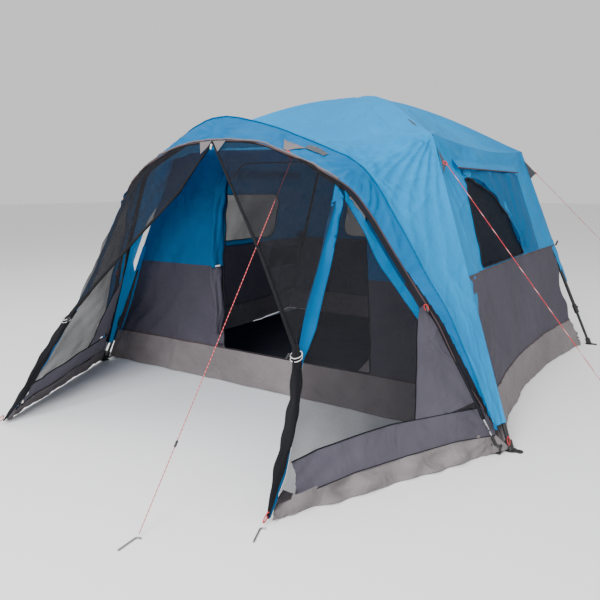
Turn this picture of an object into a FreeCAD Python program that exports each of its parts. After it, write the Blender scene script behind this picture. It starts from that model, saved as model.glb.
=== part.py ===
import FreeCAD, Part
import math
import os

Vector = FreeCAD.Vector
doc = FreeCAD.newDocument("popup_tent")

# ---------------------------------------------------------------------------------------------
# Driving dimensions, in millimetres and degrees. X is to the right, -Y is the porch side, Z is up.
# The origin is on the ground, under the middle of the cabin.
# ---------------------------------------------------------------------------------------------
DIMENSIONS = {
    "foot_half_width": 1700,
    "foot_half_depth": 1370,
    "shoulder_half_width": 1035,
    "shoulder_half_depth": 1045,
    "elbow_height": 1672,
    "elbow_drop": 44,
    "hub_height": 2075,
    "hub_reach": 130,
    "hub_radius": 92,
    "hub_thickness": 44,
    "cap_radius": 70,
    "cap_thickness": 22,
    "lug_gap": 32,
    "lug_thickness": 7,
    "lug_radius": 17,
    "pin_radius": 4,
    "arm_radius": 12.5,
    "arm_bore": 11,
    "arm_rise": 66,
    "arm_closed_end": 30,
    "leg_radius": 14.5,
    "leg_bore": 12.3,
    "inner_leg_radius": 11.8,
    "inner_leg_bore": 10.4,
    "upper_leg_end": 1495,
    "inner_leg_start": 1120,
    "leg_travel": 260,
    "eye_radius": 15,
    "eye_width": 26,
    "collar_radius": 20,
    "collar_length": 80,
    "button_radius": 6,
    "button_height": 9,
    "button_travel": 3,
    "foot_radius": 21,
    "foot_height": 54,
    "foot_plate_radius": 34,
    "foot_plate_thickness": 6,
    "foot_peg_radius": 4.5,
    "hoop_radius": 5.5,
    "hoop_half_width": 1640,
    "hoop_pivot_ahead": 70,
    "hoop_pivot_height": 34,
    "hoop_shoulder_x": 868,
    "hoop_shoulder_ahead": 198,
    "hoop_shoulder_z": 1552,
    "hoop_top_ahead": 368,
    "hoop_top_z": 1834,
    "hoop_shoulder_bend": 210,
    "hoop_top_bend": 700,
    "ferrule_radius": 7.5,
    "ferrule_length": 60,
    "socket_thickness": 8,
    "socket_gap": 38,
    "visor_ahead": 455,
    "visor_z": 1700,
    "floor_half_width": 1490,
    "floor_half_depth": 1270,
    "side_wall_inset": 90,
    "front_wall_inset": 30,
    "wall_gap_high": 52,
    "wall_gap_low": 132,
    "stake_half_width": 1020,
    "stake_ahead": 1330,
    "fabric_thickness": 2,
    "sheet_thickness": 3,
    "pole_clearance": 34,
    "roof_peak_z": 2105,
    "cord_radius": 2,
    "roll_radius": 24,
    "peg_radius": 3.5,
    "peg_length": 105,
    "peg_hook": 24,
    "peg_bend": 12,
    "running_clearance": 0.05,
    "sliding_clearance": 0.5,
    "elbow_wall": 4,
    "elbow_sleeve_length": 60,
    "elbow_crown_height": 36,
    "elbow_cheek_overlap": 8,
    "leg_solid_top": 45,
    "collar_lip": 12,
    "boss_wall": 4,
    "boss_height": 12,
    "button_below_collar_top": 34,
    "inner_leg_foot_gap": 30,
    "inner_leg_solid_end": 60,
    "ear_reach": 46,
    "ear_radius": 20,
    "bridge_length": 44,
    "bridge_width": 40,
    "bridge_reach": 34,
    "tip_eye_radius": 11,
    "tip_eye_width": 22,
    "tip_wall": 1.5,
    "tip_length": 60,
    "rod_start": 16,
    "socket_plate_length": 60,
    "socket_plate_width": 56,
    "socket_plate_thickness": 6,
    "socket_cheek_width": 30,
    "socket_cheek_above_pin": 12,
    "floor_corner_cut": 60,
    "roof_edge_lift": 42,
    "roof_seam_gap": 6,
    "roof_under_arm": 34,
    "roof_peak_opening": 190,
    "wall_foot_lift": 12,
    "wall_head_lift": 30,
    "flap_gap": 24,
}

table = doc.addObject("Spreadsheet::Sheet", "Dimensions")
for row, (alias, value) in enumerate(DIMENSIONS.items(), start=1):
    table.set(f"A{row}", alias)
    table.set(f"B{row}", str(value))
    table.setAlias(f"B{row}", alias)
doc.recompute()


def size(alias):
    return float(table.get(alias))


def bind(obj, prop, expression):
    """Bind a property to cells of the table: words of the expression that are aliases are looked up."""
    words = expression.split()
    cells = [f"Dimensions.{word}" if word in DIMENSIONS else word for word in words]
    obj.setExpression(prop, " ".join(cells))


SUB_PARTS = []


def finished(obj, label):
    obj.Label = label
    SUB_PARTS.append(obj)
    return obj


# ---------------------------------------------------------------------------------------------
# Frames and primitives
# ---------------------------------------------------------------------------------------------
def frame_at(origin, z_dir, x_dir=None):
    """A placement at origin whose Z runs along z_dir and whose X lies nearest to x_dir."""
    z_axis = Vector(z_dir).normalize()
    helper = x_dir or (Vector(1, 0, 0) if abs(z_axis.x) < 0.9 else Vector(0, 1, 0))
    y_axis = z_axis.cross(helper).normalize()
    x_axis = y_axis.cross(z_axis)
    rotation = FreeCAD.Rotation(x_axis, y_axis, z_axis, "ZXY")
    return FreeCAD.Placement(origin, rotation)


def cylinder(start, along, radius, length, name="Cylinder"):
    """A cylinder from start along a direction; radius and length are expressions of the table."""
    obj = doc.addObject("Part::Cylinder", name)
    bind(obj, "Radius", radius)
    bind(obj, "Height", length)
    obj.Placement = frame_at(start, along)
    return obj


def block(centre, z_dir, x_dir, length, width, height, name="Block"):
    """A box centred on a point, length along x_dir, width across and height along z_dir."""
    obj = doc.addObject("Part::Box", name)
    bind(obj, "Length", length)
    bind(obj, "Width", width)
    bind(obj, "Height", height)
    doc.recompute()
    corner = Vector(-obj.Length.Value / 2, -obj.Width.Value / 2, -obj.Height.Value / 2)
    obj.Placement = frame_at(centre, z_dir, x_dir).multiply(FreeCAD.Placement(corner, FreeCAD.Rotation()))
    return obj


def fuse(*shapes):
    obj = doc.addObject("Part::MultiFuse", "Fuse")
    obj.Shapes = list(shapes)
    return obj


def cut(base, tool):
    obj = doc.addObject("Part::Cut", "Cut")
    obj.Base = base
    obj.Tool = tool
    return obj


def group(*shapes):
    obj = doc.addObject("Part::Compound", "Group")
    obj.Links = list(shapes)
    return obj


def tube(start, along, outer, inner, length):
    return cut(cylinder(start, along, outer, length), cylinder(start, along, inner, length))


def panel(label, points, thickness="fabric_thickness"):
    """A flat cloth panel: the outline through the points, padded to both sides by half the cloth."""
    origin = points[0]
    x_axis = (points[1] - origin).normalize()
    z_axis = x_axis.cross(points[-1] - origin).normalize()
    y_axis = z_axis.cross(x_axis)
    body = doc.addObject("PartDesign::Body", "Panel")
    sketch = body.newObject("Sketcher::SketchObject", "Outline")
    plane = next(f for f in body.Origin.OriginFeatures if f.Role == "XY_Plane")
    sketch.AttachmentSupport = [(plane, "")]
    sketch.MapMode = "FlatFace"
    flat = [Vector((p - origin).dot(x_axis), (p - origin).dot(y_axis), 0) for p in points]
    for start, end in zip(flat, flat[1:] + flat[:1]):
        sketch.addGeometry(Part.LineSegment(start, end), False)
    pad = body.newObject("PartDesign::Pad", "Cloth")
    pad.Profile = sketch
    pad.Midplane = True
    bind(pad, "Length", thickness)
    body.Placement = FreeCAD.Placement(origin, FreeCAD.Rotation(x_axis, y_axis, z_axis, "ZXY"))
    return finished(body, label) if label else body


def bent_path(points, radii):
    """A wire of straight runs through the points, with a tangent arc of the given radius at each bend."""
    edges = []
    here = points[0]
    for corner, after, radius in zip(points[1:], points[2:], radii):
        before = (corner - here).normalize()
        onward = (after - corner).normalize()
        half_turn = before.getAngle(onward) / 2
        trim = radius * math.tan(half_turn)
        arc_start = corner - before * trim
        arc_end = corner + onward * trim
        inward = (onward - before).normalize()
        middle = corner + inward * (radius / math.cos(half_turn) - radius)
        edges.append(Part.LineSegment(here, arc_start).toShape())
        edges.append(Part.Arc(arc_start, middle, arc_end).toShape())
        here = arc_end
    edges.append(Part.LineSegment(here, points[-1]).toShape())
    return Part.Wire(edges)


def rod_along(points, radii, rod_radius):
    """A round rod that follows a bent path; its volume is compared with section times length."""
    wire = bent_path(points, radii)
    first = (points[1] - points[0]).normalize()
    profile = Part.Wire([Part.makeCircle(rod_radius, points[0], first)])
    solid = wire.makePipeShell([profile], True, True)
    expected = math.pi * rod_radius**2 * wire.Length
    if abs(solid.Volume - expected) > 0.01 * expected:
        raise ValueError(f"rod volume {solid.Volume:.0f} is not {expected:.0f}")
    return solid, wire.Length


def largest_bends(points):
    """The radius of each bend of a route: as large as its two runs allow."""
    radii = []
    for before, corner, after in zip(points, points[1:], points[2:]):
        run = min((corner - before).Length, (after - corner).Length)
        radii.append(0.45 * run / math.tan((corner - before).getAngle(after - corner) / 2))
    return radii


def shape_part(label, shape):
    obj = doc.addObject("Part::Feature", "Shape")
    obj.Shape = shape
    return finished(obj, label)


# ---------------------------------------------------------------------------------------------
# Key points of the frame
# ---------------------------------------------------------------------------------------------
CORNERS = {
    "front_right": (1, -1),
    "front_left": (-1, -1),
    "back_right": (1, 1),
    "back_left": (-1, 1),
}
UP = Vector(0, 0, 1)


class Corner:
    """The points and directions of one quarter of the frame."""

    def __init__(self, side_x, side_y):
        self.side_x = side_x
        self.side_y = side_y
        self.foot = Vector(side_x * size("foot_half_width"), side_y * size("foot_half_depth"), 0)
        self.elbow = Vector(
            side_x * size("shoulder_half_width"),
            side_y * size("shoulder_half_depth"),
            size("elbow_height"),
        )
        self.radial = Vector(self.elbow.x, self.elbow.y, 0).normalize()
        self.hinge = self.radial * size("hub_reach") + UP * size("hub_height")
        self.hinge_axis = self.radial.cross(UP)
        self.leg = (self.foot - self.elbow).normalize()
        rough = (self.elbow - self.hinge).normalize()
        away = (rough * self.leg.dot(rough) - self.leg).normalize()
        self.arm_end = self.elbow + away * size("elbow_drop")
        self.chord = (self.arm_end - self.hinge).normalize()
        self.above = (self.chord * self.leg.dot(self.chord) - self.leg).normalize()
        self.elbow_axis = self.leg.cross(self.chord * -1).normalize()
        self.fold = math.degrees(self.leg.getAngle(self.chord * -1))


corners = {name: Corner(*sides) for name, sides in CORNERS.items()}


# ---------------------------------------------------------------------------------------------
# Hub
# ---------------------------------------------------------------------------------------------
def hub():
    half = size("hub_thickness") / 2
    bottom = UP * (size("hub_height") - half)
    disc = cylinder(bottom, UP, "hub_radius", "hub_thickness")
    lugs = []
    for corner in corners.values():
        for side in (-1, 1):
            offset = side * (size("lug_gap") + size("lug_thickness")) / 2
            root = corner.radial * (size("hub_reach") - size("hub_radius") / 2) + UP * size("hub_height")
            centre = root + corner.hinge_axis * offset
            lugs.append(
                block(
                    centre,
                    UP,
                    corner.radial,
                    "hub_radius",
                    "lug_thickness",
                    "2 * lug_radius",
                )
            )
            eye_start = corner.hinge + corner.hinge_axis * (offset - size("lug_thickness") / 2)
            lugs.append(cylinder(eye_start, corner.hinge_axis, "lug_radius", "lug_thickness"))
    body = fuse(disc, *lugs)
    pins = []
    for corner in corners.values():
        reach = size("lug_gap") / 2 + size("lug_thickness")
        start = corner.hinge - corner.hinge_axis * reach
        pins.append(cylinder(start, corner.hinge_axis, "pin_radius", "lug_gap + 2 * lug_thickness"))
    finished(cut(body, group(*pins)), "hub")


def hub_pins():
    pins = []
    for corner in corners.values():
        reach = size("lug_gap") / 2 + size("lug_thickness")
        start = corner.hinge - corner.hinge_axis * reach
        pins.append(cylinder(start, corner.hinge_axis, "pin_radius", "lug_gap + 2 * lug_thickness"))
    finished(group(*pins), "hub_pins")


def hub_cap():
    base = UP * (size("hub_height") + size("hub_thickness") / 2)
    finished(cylinder(base, UP, "cap_radius", "cap_thickness"), "hub_cap")


# ---------------------------------------------------------------------------------------------
# One quarter of the folding frame
# ---------------------------------------------------------------------------------------------
def roof_arm(name, corner):
    """A tube bent to a shallow arc from the hub hinge to the elbow, closed at both ends, with an eye."""
    chord = (corner.arm_end - corner.hinge).Length
    rise = size("arm_rise")
    bend = (chord**2 / 4 + rise**2) / (2 * rise)
    half = math.degrees(math.asin(chord / 2 / bend))
    middle = (corner.arm_end + corner.hinge) / 2
    centre = middle - corner.above * (bend - rise)
    placement = frame_at(centre, corner.chord.cross(corner.above), corner.chord)
    segments = []
    for radius, closed_end in (("arm_radius", 0), ("arm_bore", size("arm_closed_end"))):
        trim = math.degrees(closed_end / bend)
        ring = doc.addObject("Part::Torus", "Arc")
        ring.Radius1 = bend
        bind(ring, "Radius2", radius)
        ring.Angle3 = 2 * (half - trim)
        start_turn = FreeCAD.Rotation(UP, 90 - half + trim)
        ring.Placement = placement.multiply(FreeCAD.Placement(Vector(), start_turn))
        segments.append(ring)
    hollow = cut(*segments)
    eye_start = corner.hinge - corner.hinge_axis * (size("eye_width") / 2)
    eye = cylinder(eye_start, corner.hinge_axis, "eye_radius", "eye_width")
    hole = cylinder(eye_start, corner.hinge_axis, "pin_radius + running_clearance", "eye_width")
    finished(cut(fuse(hollow, eye), hole), f"roof_arm_{name}")


def elbow(name, corner):
    """The moulded elbow on the arm's end: two cheeks that hang below the tube, with the leg's pin."""
    cheeks = []
    centre = (corner.arm_end + corner.elbow) / 2
    for side in (-1, 1):
        offset = side * (size("lug_gap") + size("lug_thickness")) / 2
        cheek_centre = centre + corner.elbow_axis * offset
        cheeks.append(
            block(
                cheek_centre,
                corner.above,
                corner.chord,
                "2 * lug_radius",
                "lug_thickness",
                "elbow_drop + elbow_cheek_overlap",
            )
        )
        eye_start = corner.elbow + corner.elbow_axis * (offset - size("lug_thickness") / 2)
        cheeks.append(cylinder(eye_start, corner.elbow_axis, "lug_radius", "lug_thickness"))
    crown_centre = corner.arm_end + corner.above * size("elbow_wall")
    crown = block(
        crown_centre,
        corner.above,
        corner.chord,
        "2 * lug_radius",
        "lug_gap + 2 * lug_thickness",
        "elbow_crown_height",
    )
    socket_start = corner.arm_end - corner.chord * size("elbow_sleeve_length")
    reach = size("lug_gap") / 2 + size("lug_thickness")
    pin_start = corner.elbow - corner.elbow_axis * reach
    pin = cylinder(pin_start, corner.elbow_axis, "pin_radius", "lug_gap + 2 * lug_thickness")
    sleeve = cylinder(socket_start, corner.chord, "arm_radius + elbow_wall", "elbow_sleeve_length")
    finished(fuse(crown, sleeve, *cheeks, pin), f"elbow_{name}")


def bored_elbow(name):
    """Cut the arm's tube out of the elbow that sleeves it, so that each is a solid of its own."""
    arm = next(part for part in SUB_PARTS if part.Label == f"roof_arm_{name}")
    joint = next(part for part in SUB_PARTS if part.Label == f"elbow_{name}")
    SUB_PARTS.remove(joint)
    joint.Label = f"elbow_{name}_blank"
    finished(cut(joint, arm), f"elbow_{name}")


def upper_leg(name, corner):
    """The outer leg tube with a solid eye at its top."""
    outer = cylinder(corner.elbow, corner.leg, "leg_radius", "upper_leg_end")
    eye_start = corner.elbow - corner.elbow_axis * (size("eye_width") / 2)
    eye = cylinder(eye_start, corner.elbow_axis, "eye_radius", "eye_width")
    hollow_start = corner.elbow + corner.leg * size("leg_solid_top")
    hollow = cylinder(hollow_start, corner.leg, "leg_bore", "upper_leg_end")
    hole_start = corner.elbow - corner.elbow_axis * (size("leg_radius") + 1)
    hole = cylinder(hole_start, corner.elbow_axis, "pin_radius + running_clearance", "2 * leg_radius + 2")
    finished(cut(fuse(outer, eye), group(hollow, hole)), f"upper_leg_{name}")


def outward(corner):
    """The direction across the leg that faces away from the cabin."""
    side = Vector(corner.side_x, corner.side_y, 0)
    return (side - corner.leg * side.dot(corner.leg)).normalize()


def collar_start(corner):
    """Where the collar begins, so that its lip closes the outer tube's lower end."""
    return corner.elbow + corner.leg * (size("upper_leg_end") - size("collar_length") + size("collar_lip"))


def leg_collar(name, corner):
    """The moulded collar at the outer tube's lower end, with a boss that guides the release button."""
    start = collar_start(corner)
    ring = tube(start, corner.leg, "collar_radius", "leg_radius", "collar_length - collar_lip")
    lip_start = corner.elbow + corner.leg * size("upper_leg_end")
    lip = tube(lip_start, corner.leg, "collar_radius", "inner_leg_radius + sliding_clearance", "collar_lip")
    button_at = start + corner.leg * size("button_below_collar_top")
    boss_start = button_at + outward(corner) * (size("leg_radius") + 1)
    boss = cylinder(boss_start, outward(corner), "button_radius + boss_wall", "boss_height")
    well_start = boss_start + outward(corner)
    well = cylinder(well_start, outward(corner), "button_radius + sliding_clearance", "boss_height")
    finished(cut(fuse(ring, lip, boss), well), f"leg_collar_{name}")


def release_button(name, corner):
    """The button in the collar's boss, with room below it for its whole travel."""
    start = collar_start(corner) + corner.leg * size("button_below_collar_top")
    gap = size("leg_radius") + 2 + size("button_travel") + size("sliding_clearance")
    seat = start + outward(corner) * gap
    finished(cylinder(seat, outward(corner), "button_radius", "button_height"), f"release_button_{name}")


def lower_leg(name, corner):
    """The inner leg tube, which slides in the outer tube and ends in the foot."""
    start = corner.elbow + corner.leg * size("inner_leg_start")
    whole = (corner.foot - corner.elbow).Length
    length = whole - size("inner_leg_start") - size("inner_leg_foot_gap")
    solid = cylinder(start, corner.leg, "inner_leg_radius", f"{length}")
    bore = cylinder(start, corner.leg, "inner_leg_bore", f"{length} - inner_leg_solid_end")
    finished(cut(solid, bore), f"lower_leg_{name}")


GROUND_BLOCK = 200


def foot(name, corner):
    """The moulded foot: a boot round the tube's end on a flat plate with a vertical peg hole."""
    plate = cylinder(corner.foot, UP, "foot_plate_radius", "foot_plate_thickness")
    boot = cylinder(corner.foot + UP, corner.leg * -1, "foot_radius", "foot_height")
    ear_at = corner.foot + Vector(corner.side_x, 0, 0) * size("ear_reach")
    ear = cylinder(ear_at, UP, "ear_radius", "foot_plate_thickness")
    bridge_middle = Vector(corner.side_x * size("bridge_reach"), 0, size("foot_plate_thickness") / 2)
    across = Vector(1, 0, 0)
    bridge_sizes = ("bridge_length", "bridge_width", "foot_plate_thickness")
    bridge = block(corner.foot + bridge_middle, UP, across, *bridge_sizes)
    hole = cylinder(ear_at - UP, UP, "foot_peg_radius", "foot_plate_thickness + 2")
    below = block(corner.foot - UP * GROUND_BLOCK / 2, UP, across, *[str(GROUND_BLOCK)] * 3)
    leg_part = next(part for part in SUB_PARTS if part.Label == f"lower_leg_{name}")
    finished(cut(cut(fuse(plate, boot, ear, bridge), group(hole, below)), leg_part), f"foot_{name}")


# ---------------------------------------------------------------------------------------------
# Porch hoop
# ---------------------------------------------------------------------------------------------
front_y = -size("foot_half_depth")
pivot_y = front_y - size("hoop_pivot_ahead")
hoop_top = Vector(0, front_y - size("hoop_top_ahead"), size("hoop_top_z"))


def hoop_foot(side):
    return Vector(side * size("hoop_half_width"), pivot_y, size("hoop_pivot_height"))


def hoop_shoulder(side):
    return Vector(
        side * size("hoop_shoulder_x"),
        front_y - size("hoop_shoulder_ahead"),
        size("hoop_shoulder_z"),
    )


FERRULE_SHARE = 0.62


def ferrule_point(side):
    """Where a ferrule joins a straight rod to the bow, on the way up from the foot to the shoulder."""
    return hoop_foot(side) + (hoop_shoulder(side) - hoop_foot(side)) * FERRULE_SHARE


def porch_poles():
    for name, side in (("right", 1), ("left", -1)):
        start = hoop_foot(side)
        along = (ferrule_point(side) - start).normalize()
        length = (ferrule_point(side) - start).Length - size("rod_start")
        rod = cylinder(start + along * size("rod_start"), along, "hoop_radius", f"{length}")
        finished(rod, f"porch_pole_{name}")


def porch_bow():
    points = [ferrule_point(-1), hoop_shoulder(-1), hoop_top, hoop_shoulder(1), ferrule_point(1)]
    radii = [size("hoop_shoulder_bend"), size("hoop_top_bend"), size("hoop_shoulder_bend")]
    bow, _ = rod_along(points, radii, size("hoop_radius"))
    shape_part("porch_bow", bow)


def porch_ferrules():
    sleeves = []
    for side in (1, -1):
        along = (hoop_shoulder(side) - hoop_foot(side)).normalize()
        start = ferrule_point(side) - along * (size("ferrule_length") / 2)
        sleeves.append(tube(start, along, "ferrule_radius", "hoop_radius", "ferrule_length"))
    finished(group(*sleeves), "porch_ferrules")


def porch_tips():
    """The hoop's moulded end tips, each with a cross pin hole round the socket's pivot."""
    tips = []
    across = Vector(1, 0, 0)
    for side in (1, -1):
        along = (ferrule_point(side) - hoop_foot(side)).normalize()
        eye_start = hoop_foot(side) - across * (size("tip_eye_width") / 2)
        eye = cylinder(eye_start, across, "tip_eye_radius", "tip_eye_width")
        shank = cylinder(hoop_foot(side), along, "ferrule_radius + tip_wall", "tip_length")
        bore = cylinder(hoop_foot(side) + along * size("rod_start"), along, "hoop_radius", "tip_length")
        hole_start = hoop_foot(side) - across * size("tip_eye_width")
        hole = cylinder(hole_start, across, "pin_radius + running_clearance", "2 * tip_eye_width")
        tips.append(cut(fuse(eye, shank), group(bore, hole)))
    finished(group(*tips), "porch_tips")


def porch_sockets():
    """Two ground sockets beside the front feet: a plate, two cheeks and the pin that the hoop turns on."""
    sockets = []
    across = Vector(1, 0, 0)
    plate_top = size("sheet_thickness") + size("socket_plate_thickness")
    for side in (1, -1):
        pivot = hoop_foot(side)
        plate_centre = Vector(pivot.x, pivot.y, plate_top - size("socket_plate_thickness") / 2)
        plate_sizes = ("socket_plate_length", "socket_plate_width", "socket_plate_thickness")
        plate = block(plate_centre, UP, across, *plate_sizes)
        parts = [plate]
        for cheek_side in (-1, 1):
            offset = cheek_side * (size("socket_gap") + size("socket_thickness")) / 2
            rise = pivot.z + size("socket_cheek_above_pin") - plate_top
            centre = Vector(pivot.x + offset, pivot.y, plate_top + rise / 2)
            parts.append(block(centre, UP, across, "socket_thickness", "socket_cheek_width", f"{rise}"))
        pin_start = pivot - across * (size("socket_gap") / 2 + size("socket_thickness"))
        pin_length = "socket_gap + 2 * socket_thickness"
        parts.append(cylinder(pin_start, across, "pin_radius", pin_length))
        sockets.append(fuse(*parts))
    finished(group(*sockets), "porch_sockets")


# ---------------------------------------------------------------------------------------------
# Cloth
# ---------------------------------------------------------------------------------------------
def between(start, end, share):
    return start + (end - start) * share


def groundsheet():
    """The flat floor, inside the walls, with its four corners cut off."""
    corner_cut = size("floor_corner_cut")
    half_x = size("floor_half_width")
    half_y = size("floor_half_depth")
    outline = []
    for sx, sy in ((1, -1), (1, 1), (-1, 1), (-1, -1)):
        near = Vector(sx * half_x, sy * (half_y - corner_cut), 0)
        far = Vector(sx * (half_x - corner_cut), sy * half_y, 0)
        outline += [far, near] if sx * sy < 0 else [near, far]
    lift = UP * (size("sheet_thickness") / 2)
    panel("groundsheet", [p + lift for p in outline], "sheet_thickness")


ROOF_PEAK_SHARE = 0.16
EAVE_CLEARANCES = 1.6
PEAK_CLEARANCES = 1.2


def roof_quarter(name, corner):
    """The roof cloth on both sides of one arm, in two flat facets that stay under the arm."""
    peak = UP * size("roof_peak_z")
    shoulder = corner.elbow + UP * size("roof_edge_lift")
    seam_gap = size("roof_seam_gap")
    clearance = size("pole_clearance")
    facets = []
    for mid_point in (Vector(0, corner.elbow.y, shoulder.z), Vector(corner.elbow.x, 0, shoulder.z)):
        side = (mid_point - shoulder).normalize()
        inner = between(peak, shoulder, ROOF_PEAK_SHARE)
        eave_inner = mid_point - side * seam_gap
        slope = (mid_point - peak).normalize()
        top = peak + slope * size("roof_peak_opening") - side * seam_gap
        outline = [
            shoulder + side * clearance * EAVE_CLEARANCES,
            inner + side * clearance * PEAK_CLEARANCES,
            top,
            eave_inner,
        ]
        facets.append(panel(None, [p - UP * size("roof_under_arm") for p in outline]))
    finished(group(*facets), f"roof_{name}")


DOOR_LEFT = -0.27
DOOR_RIGHT = 0.47
DOOR_SILL = 0.14
DOOR_HEAD = 0.88
SEAM_GAP = 0.004


class Wall:
    """A leaning wall between two legs: points on it by share across (-1 to 1) and share of height.

    Its lower edge lies inside the line between the two feet by an inset.
    """

    def __init__(self, first, second, inset):
        middle = (first.foot + second.foot) / 2
        bottom_lift = UP * size("wall_foot_lift") - Vector(middle).normalize() * size(inset)
        self.low = (first.foot + bottom_lift, second.foot + bottom_lift)
        top_lift = UP * size("wall_head_lift")
        self.high = (first.elbow + top_lift, second.elbow + top_lift)

    def at(self, across, height):
        share = (across + 1) / 2
        left = between(self.low[0], self.high[0], height)
        right = between(self.low[1], self.high[1], height)
        corner_gap = size("wall_gap_low") + (size("wall_gap_high") - size("wall_gap_low")) * height
        gap = (right - left).normalize() * corner_gap
        return between(left + gap, right - gap, share)


front_wall = Wall(corners["front_left"], corners["front_right"], "front_wall_inset")


def walls():
    edge = DOOR_RIGHT - SEAM_GAP
    panel(
        "front_wall_left",
        [
            front_wall.at(-1, 0),
            front_wall.at(edge, 0),
            front_wall.at(edge, DOOR_SILL),
            front_wall.at(DOOR_LEFT, DOOR_SILL),
            front_wall.at(DOOR_LEFT, DOOR_HEAD),
            front_wall.at(edge, DOOR_HEAD),
            front_wall.at(edge, 1),
            front_wall.at(-1, 1),
        ],
    )
    right_outline = [(DOOR_RIGHT, 0), (1, 0), (1, 1), (DOOR_RIGHT, 1)]
    panel("front_wall_right", [front_wall.at(*place) for place in right_outline])
    for label, first, second in (
        ("right_wall", "front_right", "back_right"),
        ("left_wall", "front_left", "back_left"),
        ("back_wall", "back_left", "back_right"),
    ):
        wall = Wall(corners[first], corners[second], "side_wall_inset")
        names = ("left", "right") if label == "back_wall" else ("front", "back")
        for name, outer in zip(names, (-1, 1)):
            inner = outer * SEAM_GAP
            outline = [wall.at(*place) for place in ((outer, 0), (inner, 0), (inner, 1), (outer, 1))]
            panel(f"{label}_{name}", outline)


FLAP_OUTLINE = [
    (DOOR_LEFT - 0.34, DOOR_SILL),
    (DOOR_LEFT - 0.04, DOOR_SILL),
    (DOOR_LEFT - 0.04, DOOR_HEAD - 0.02),
    (DOOR_LEFT - 0.26, DOOR_HEAD - 0.06),
]


def door_flap():
    """The open door, folded back outside the wall beside the doorway."""
    out = Vector(0, -size("flap_gap"), 0)
    panel("door_flap", [front_wall.at(*place) + out for place in FLAP_OUTLINE])


STAKE_HEIGHT = 14
PORCH_WALL_TOP = 0.94
# how far the porch wall's corners keep clear of the foot, the stake and the hoop
FOOT_CLEAR = Vector(0, -46, -20)
STAKE_CLEAR = Vector(0, 60, 0)
EDGE_CLEAR = Vector(0, -8, 0)
HOOP_CLEAR = Vector(0, -24, 0)


def stake(side):
    """Where the front edge of a porch wall is staked down, at the height of the cloth's corner."""
    return Vector(side * size("stake_half_width"), front_y - size("stake_ahead"), STAKE_HEIGHT)


visor_tip = Vector(0, front_y - size("visor_ahead"), size("visor_z"))


def porch_walls():
    """The porch's side walls: a triangle from the hoop's shoulder to its foot and to the stake."""
    for name, side in (("right", 1), ("left", -1)):
        shoulder = hoop_shoulder(side)
        foot_point = hoop_foot(side)
        outline = [
            foot_point + FOOT_CLEAR,
            stake(side) + STAKE_CLEAR,
            between(stake(side), shoulder, PORCH_WALL_TOP) + EDGE_CLEAR,
            between(foot_point, shoulder, PORCH_WALL_TOP) + HOOP_CLEAR,
        ]
        flat_normal = (outline[1] - outline[0]).cross(outline[2] - outline[0]).normalize()
        slip = (outline[3] - outline[0]).dot(flat_normal)
        outline[3] = outline[3] - flat_normal * slip
        panel(f"porch_wall_{name}", outline)


# the canopy's points, as steps away from the bow, the cabin's front edge and each other
SEAM_HALF_GAP = 4
LAP = 5
BEHIND_BOW = Vector(0, 51, -63)
BEHIND_HAUNCH = Vector(0, 26, -31)
AHEAD_OF_BOW = Vector(0, -26, -22)
VISOR_HAUNCH = Vector(0, -52, 0)
HAUNCH_BEHIND = 0.88
HAUNCH_AHEAD = 0.8
CANOPY_REAR = Vector(0, -40, 60)
CANOPY_REAR_HALF_WIDTH = 940
CANOPY_REAR_FALL = 90


def porch_roof():
    """The porch canopy between the cabin's front edge and the hoop, and the visor ahead of it."""
    facets = []
    for side in (1, -1):
        middle = Vector(side * SEAM_HALF_GAP, 0, 0)
        top = hoop_top + BEHIND_BOW + middle
        haunch = between(hoop_top, hoop_shoulder(side), HAUNCH_BEHIND) + BEHIND_HAUNCH
        rear = Vector(0, -size("shoulder_half_depth"), size("elbow_height")) + CANOPY_REAR + middle
        rear_side = rear + Vector(side * CANOPY_REAR_HALF_WIDTH, 0, -CANOPY_REAR_FALL) - middle
        facets.append(panel(None, [top, haunch, rear_side]))
        facets.append(panel(None, [p + UP * LAP for p in (top, rear_side, rear)]))
        tip = visor_tip + middle
        side_tip = between(visor_tip, hoop_shoulder(side) + VISOR_HAUNCH, HAUNCH_AHEAD)
        haunch_front = between(hoop_top, hoop_shoulder(side), HAUNCH_AHEAD) + AHEAD_OF_BOW
        facets.append(panel(None, [hoop_top + middle + AHEAD_OF_BOW, haunch_front, tip]))
        facets.append(panel(None, [p - UP * LAP for p in (haunch_front, side_tip + UP * LAP, tip)]))
    finished(group(*facets), "porch_roof")


SCREEN_ROUTES = {
    "right": [
        (30, -1860, 1620),
        (360, -1962, 1330),
        (620, -2100, 1075),
        (960, -2360, 640),
        (1040, -2520, 360),
        (1040, -2600, 150),
    ],
    "left": [
        (-30, -1860, 1620),
        (-210, -1990, 1385),
        (-410, -2270, 830),
        (-730, -2380, 620),
        (-930, -2560, 280),
        (-1000, -2600, 150),
    ],
}


def screen_rolls():
    """The front mesh screen's halves, gathered and tied along both edges of the porch opening."""
    for name, route in SCREEN_ROUTES.items():
        points = [Vector(*point) for point in route]
        roll, _ = rod_along(points, largest_bends(points), size("roll_radius"))
        shape_part(f"screen_roll_{name}", roll)


# ---------------------------------------------------------------------------------------------
# Guy lines and pegs
# ---------------------------------------------------------------------------------------------
GUYS = {
    "porch": (Vector(520, -1752, 1590), Vector(634, -3063, 10)),
    "front_right": (Vector(1180, -1130, 1560), Vector(2440, -1270, 10)),
    "back_right": (Vector(1180, 1140, 1550), Vector(2600, 1750, 10)),
}


CORD_SAG = 10
# pegs lie on the ground just past the cord or stake that they hold
GROUND_GAP = 0.5
PEG_PAST_CORD = 12
PEG_PAST_STAKE = Vector(0, -40, 0)
STAKE_LEAN = 0.4


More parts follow.
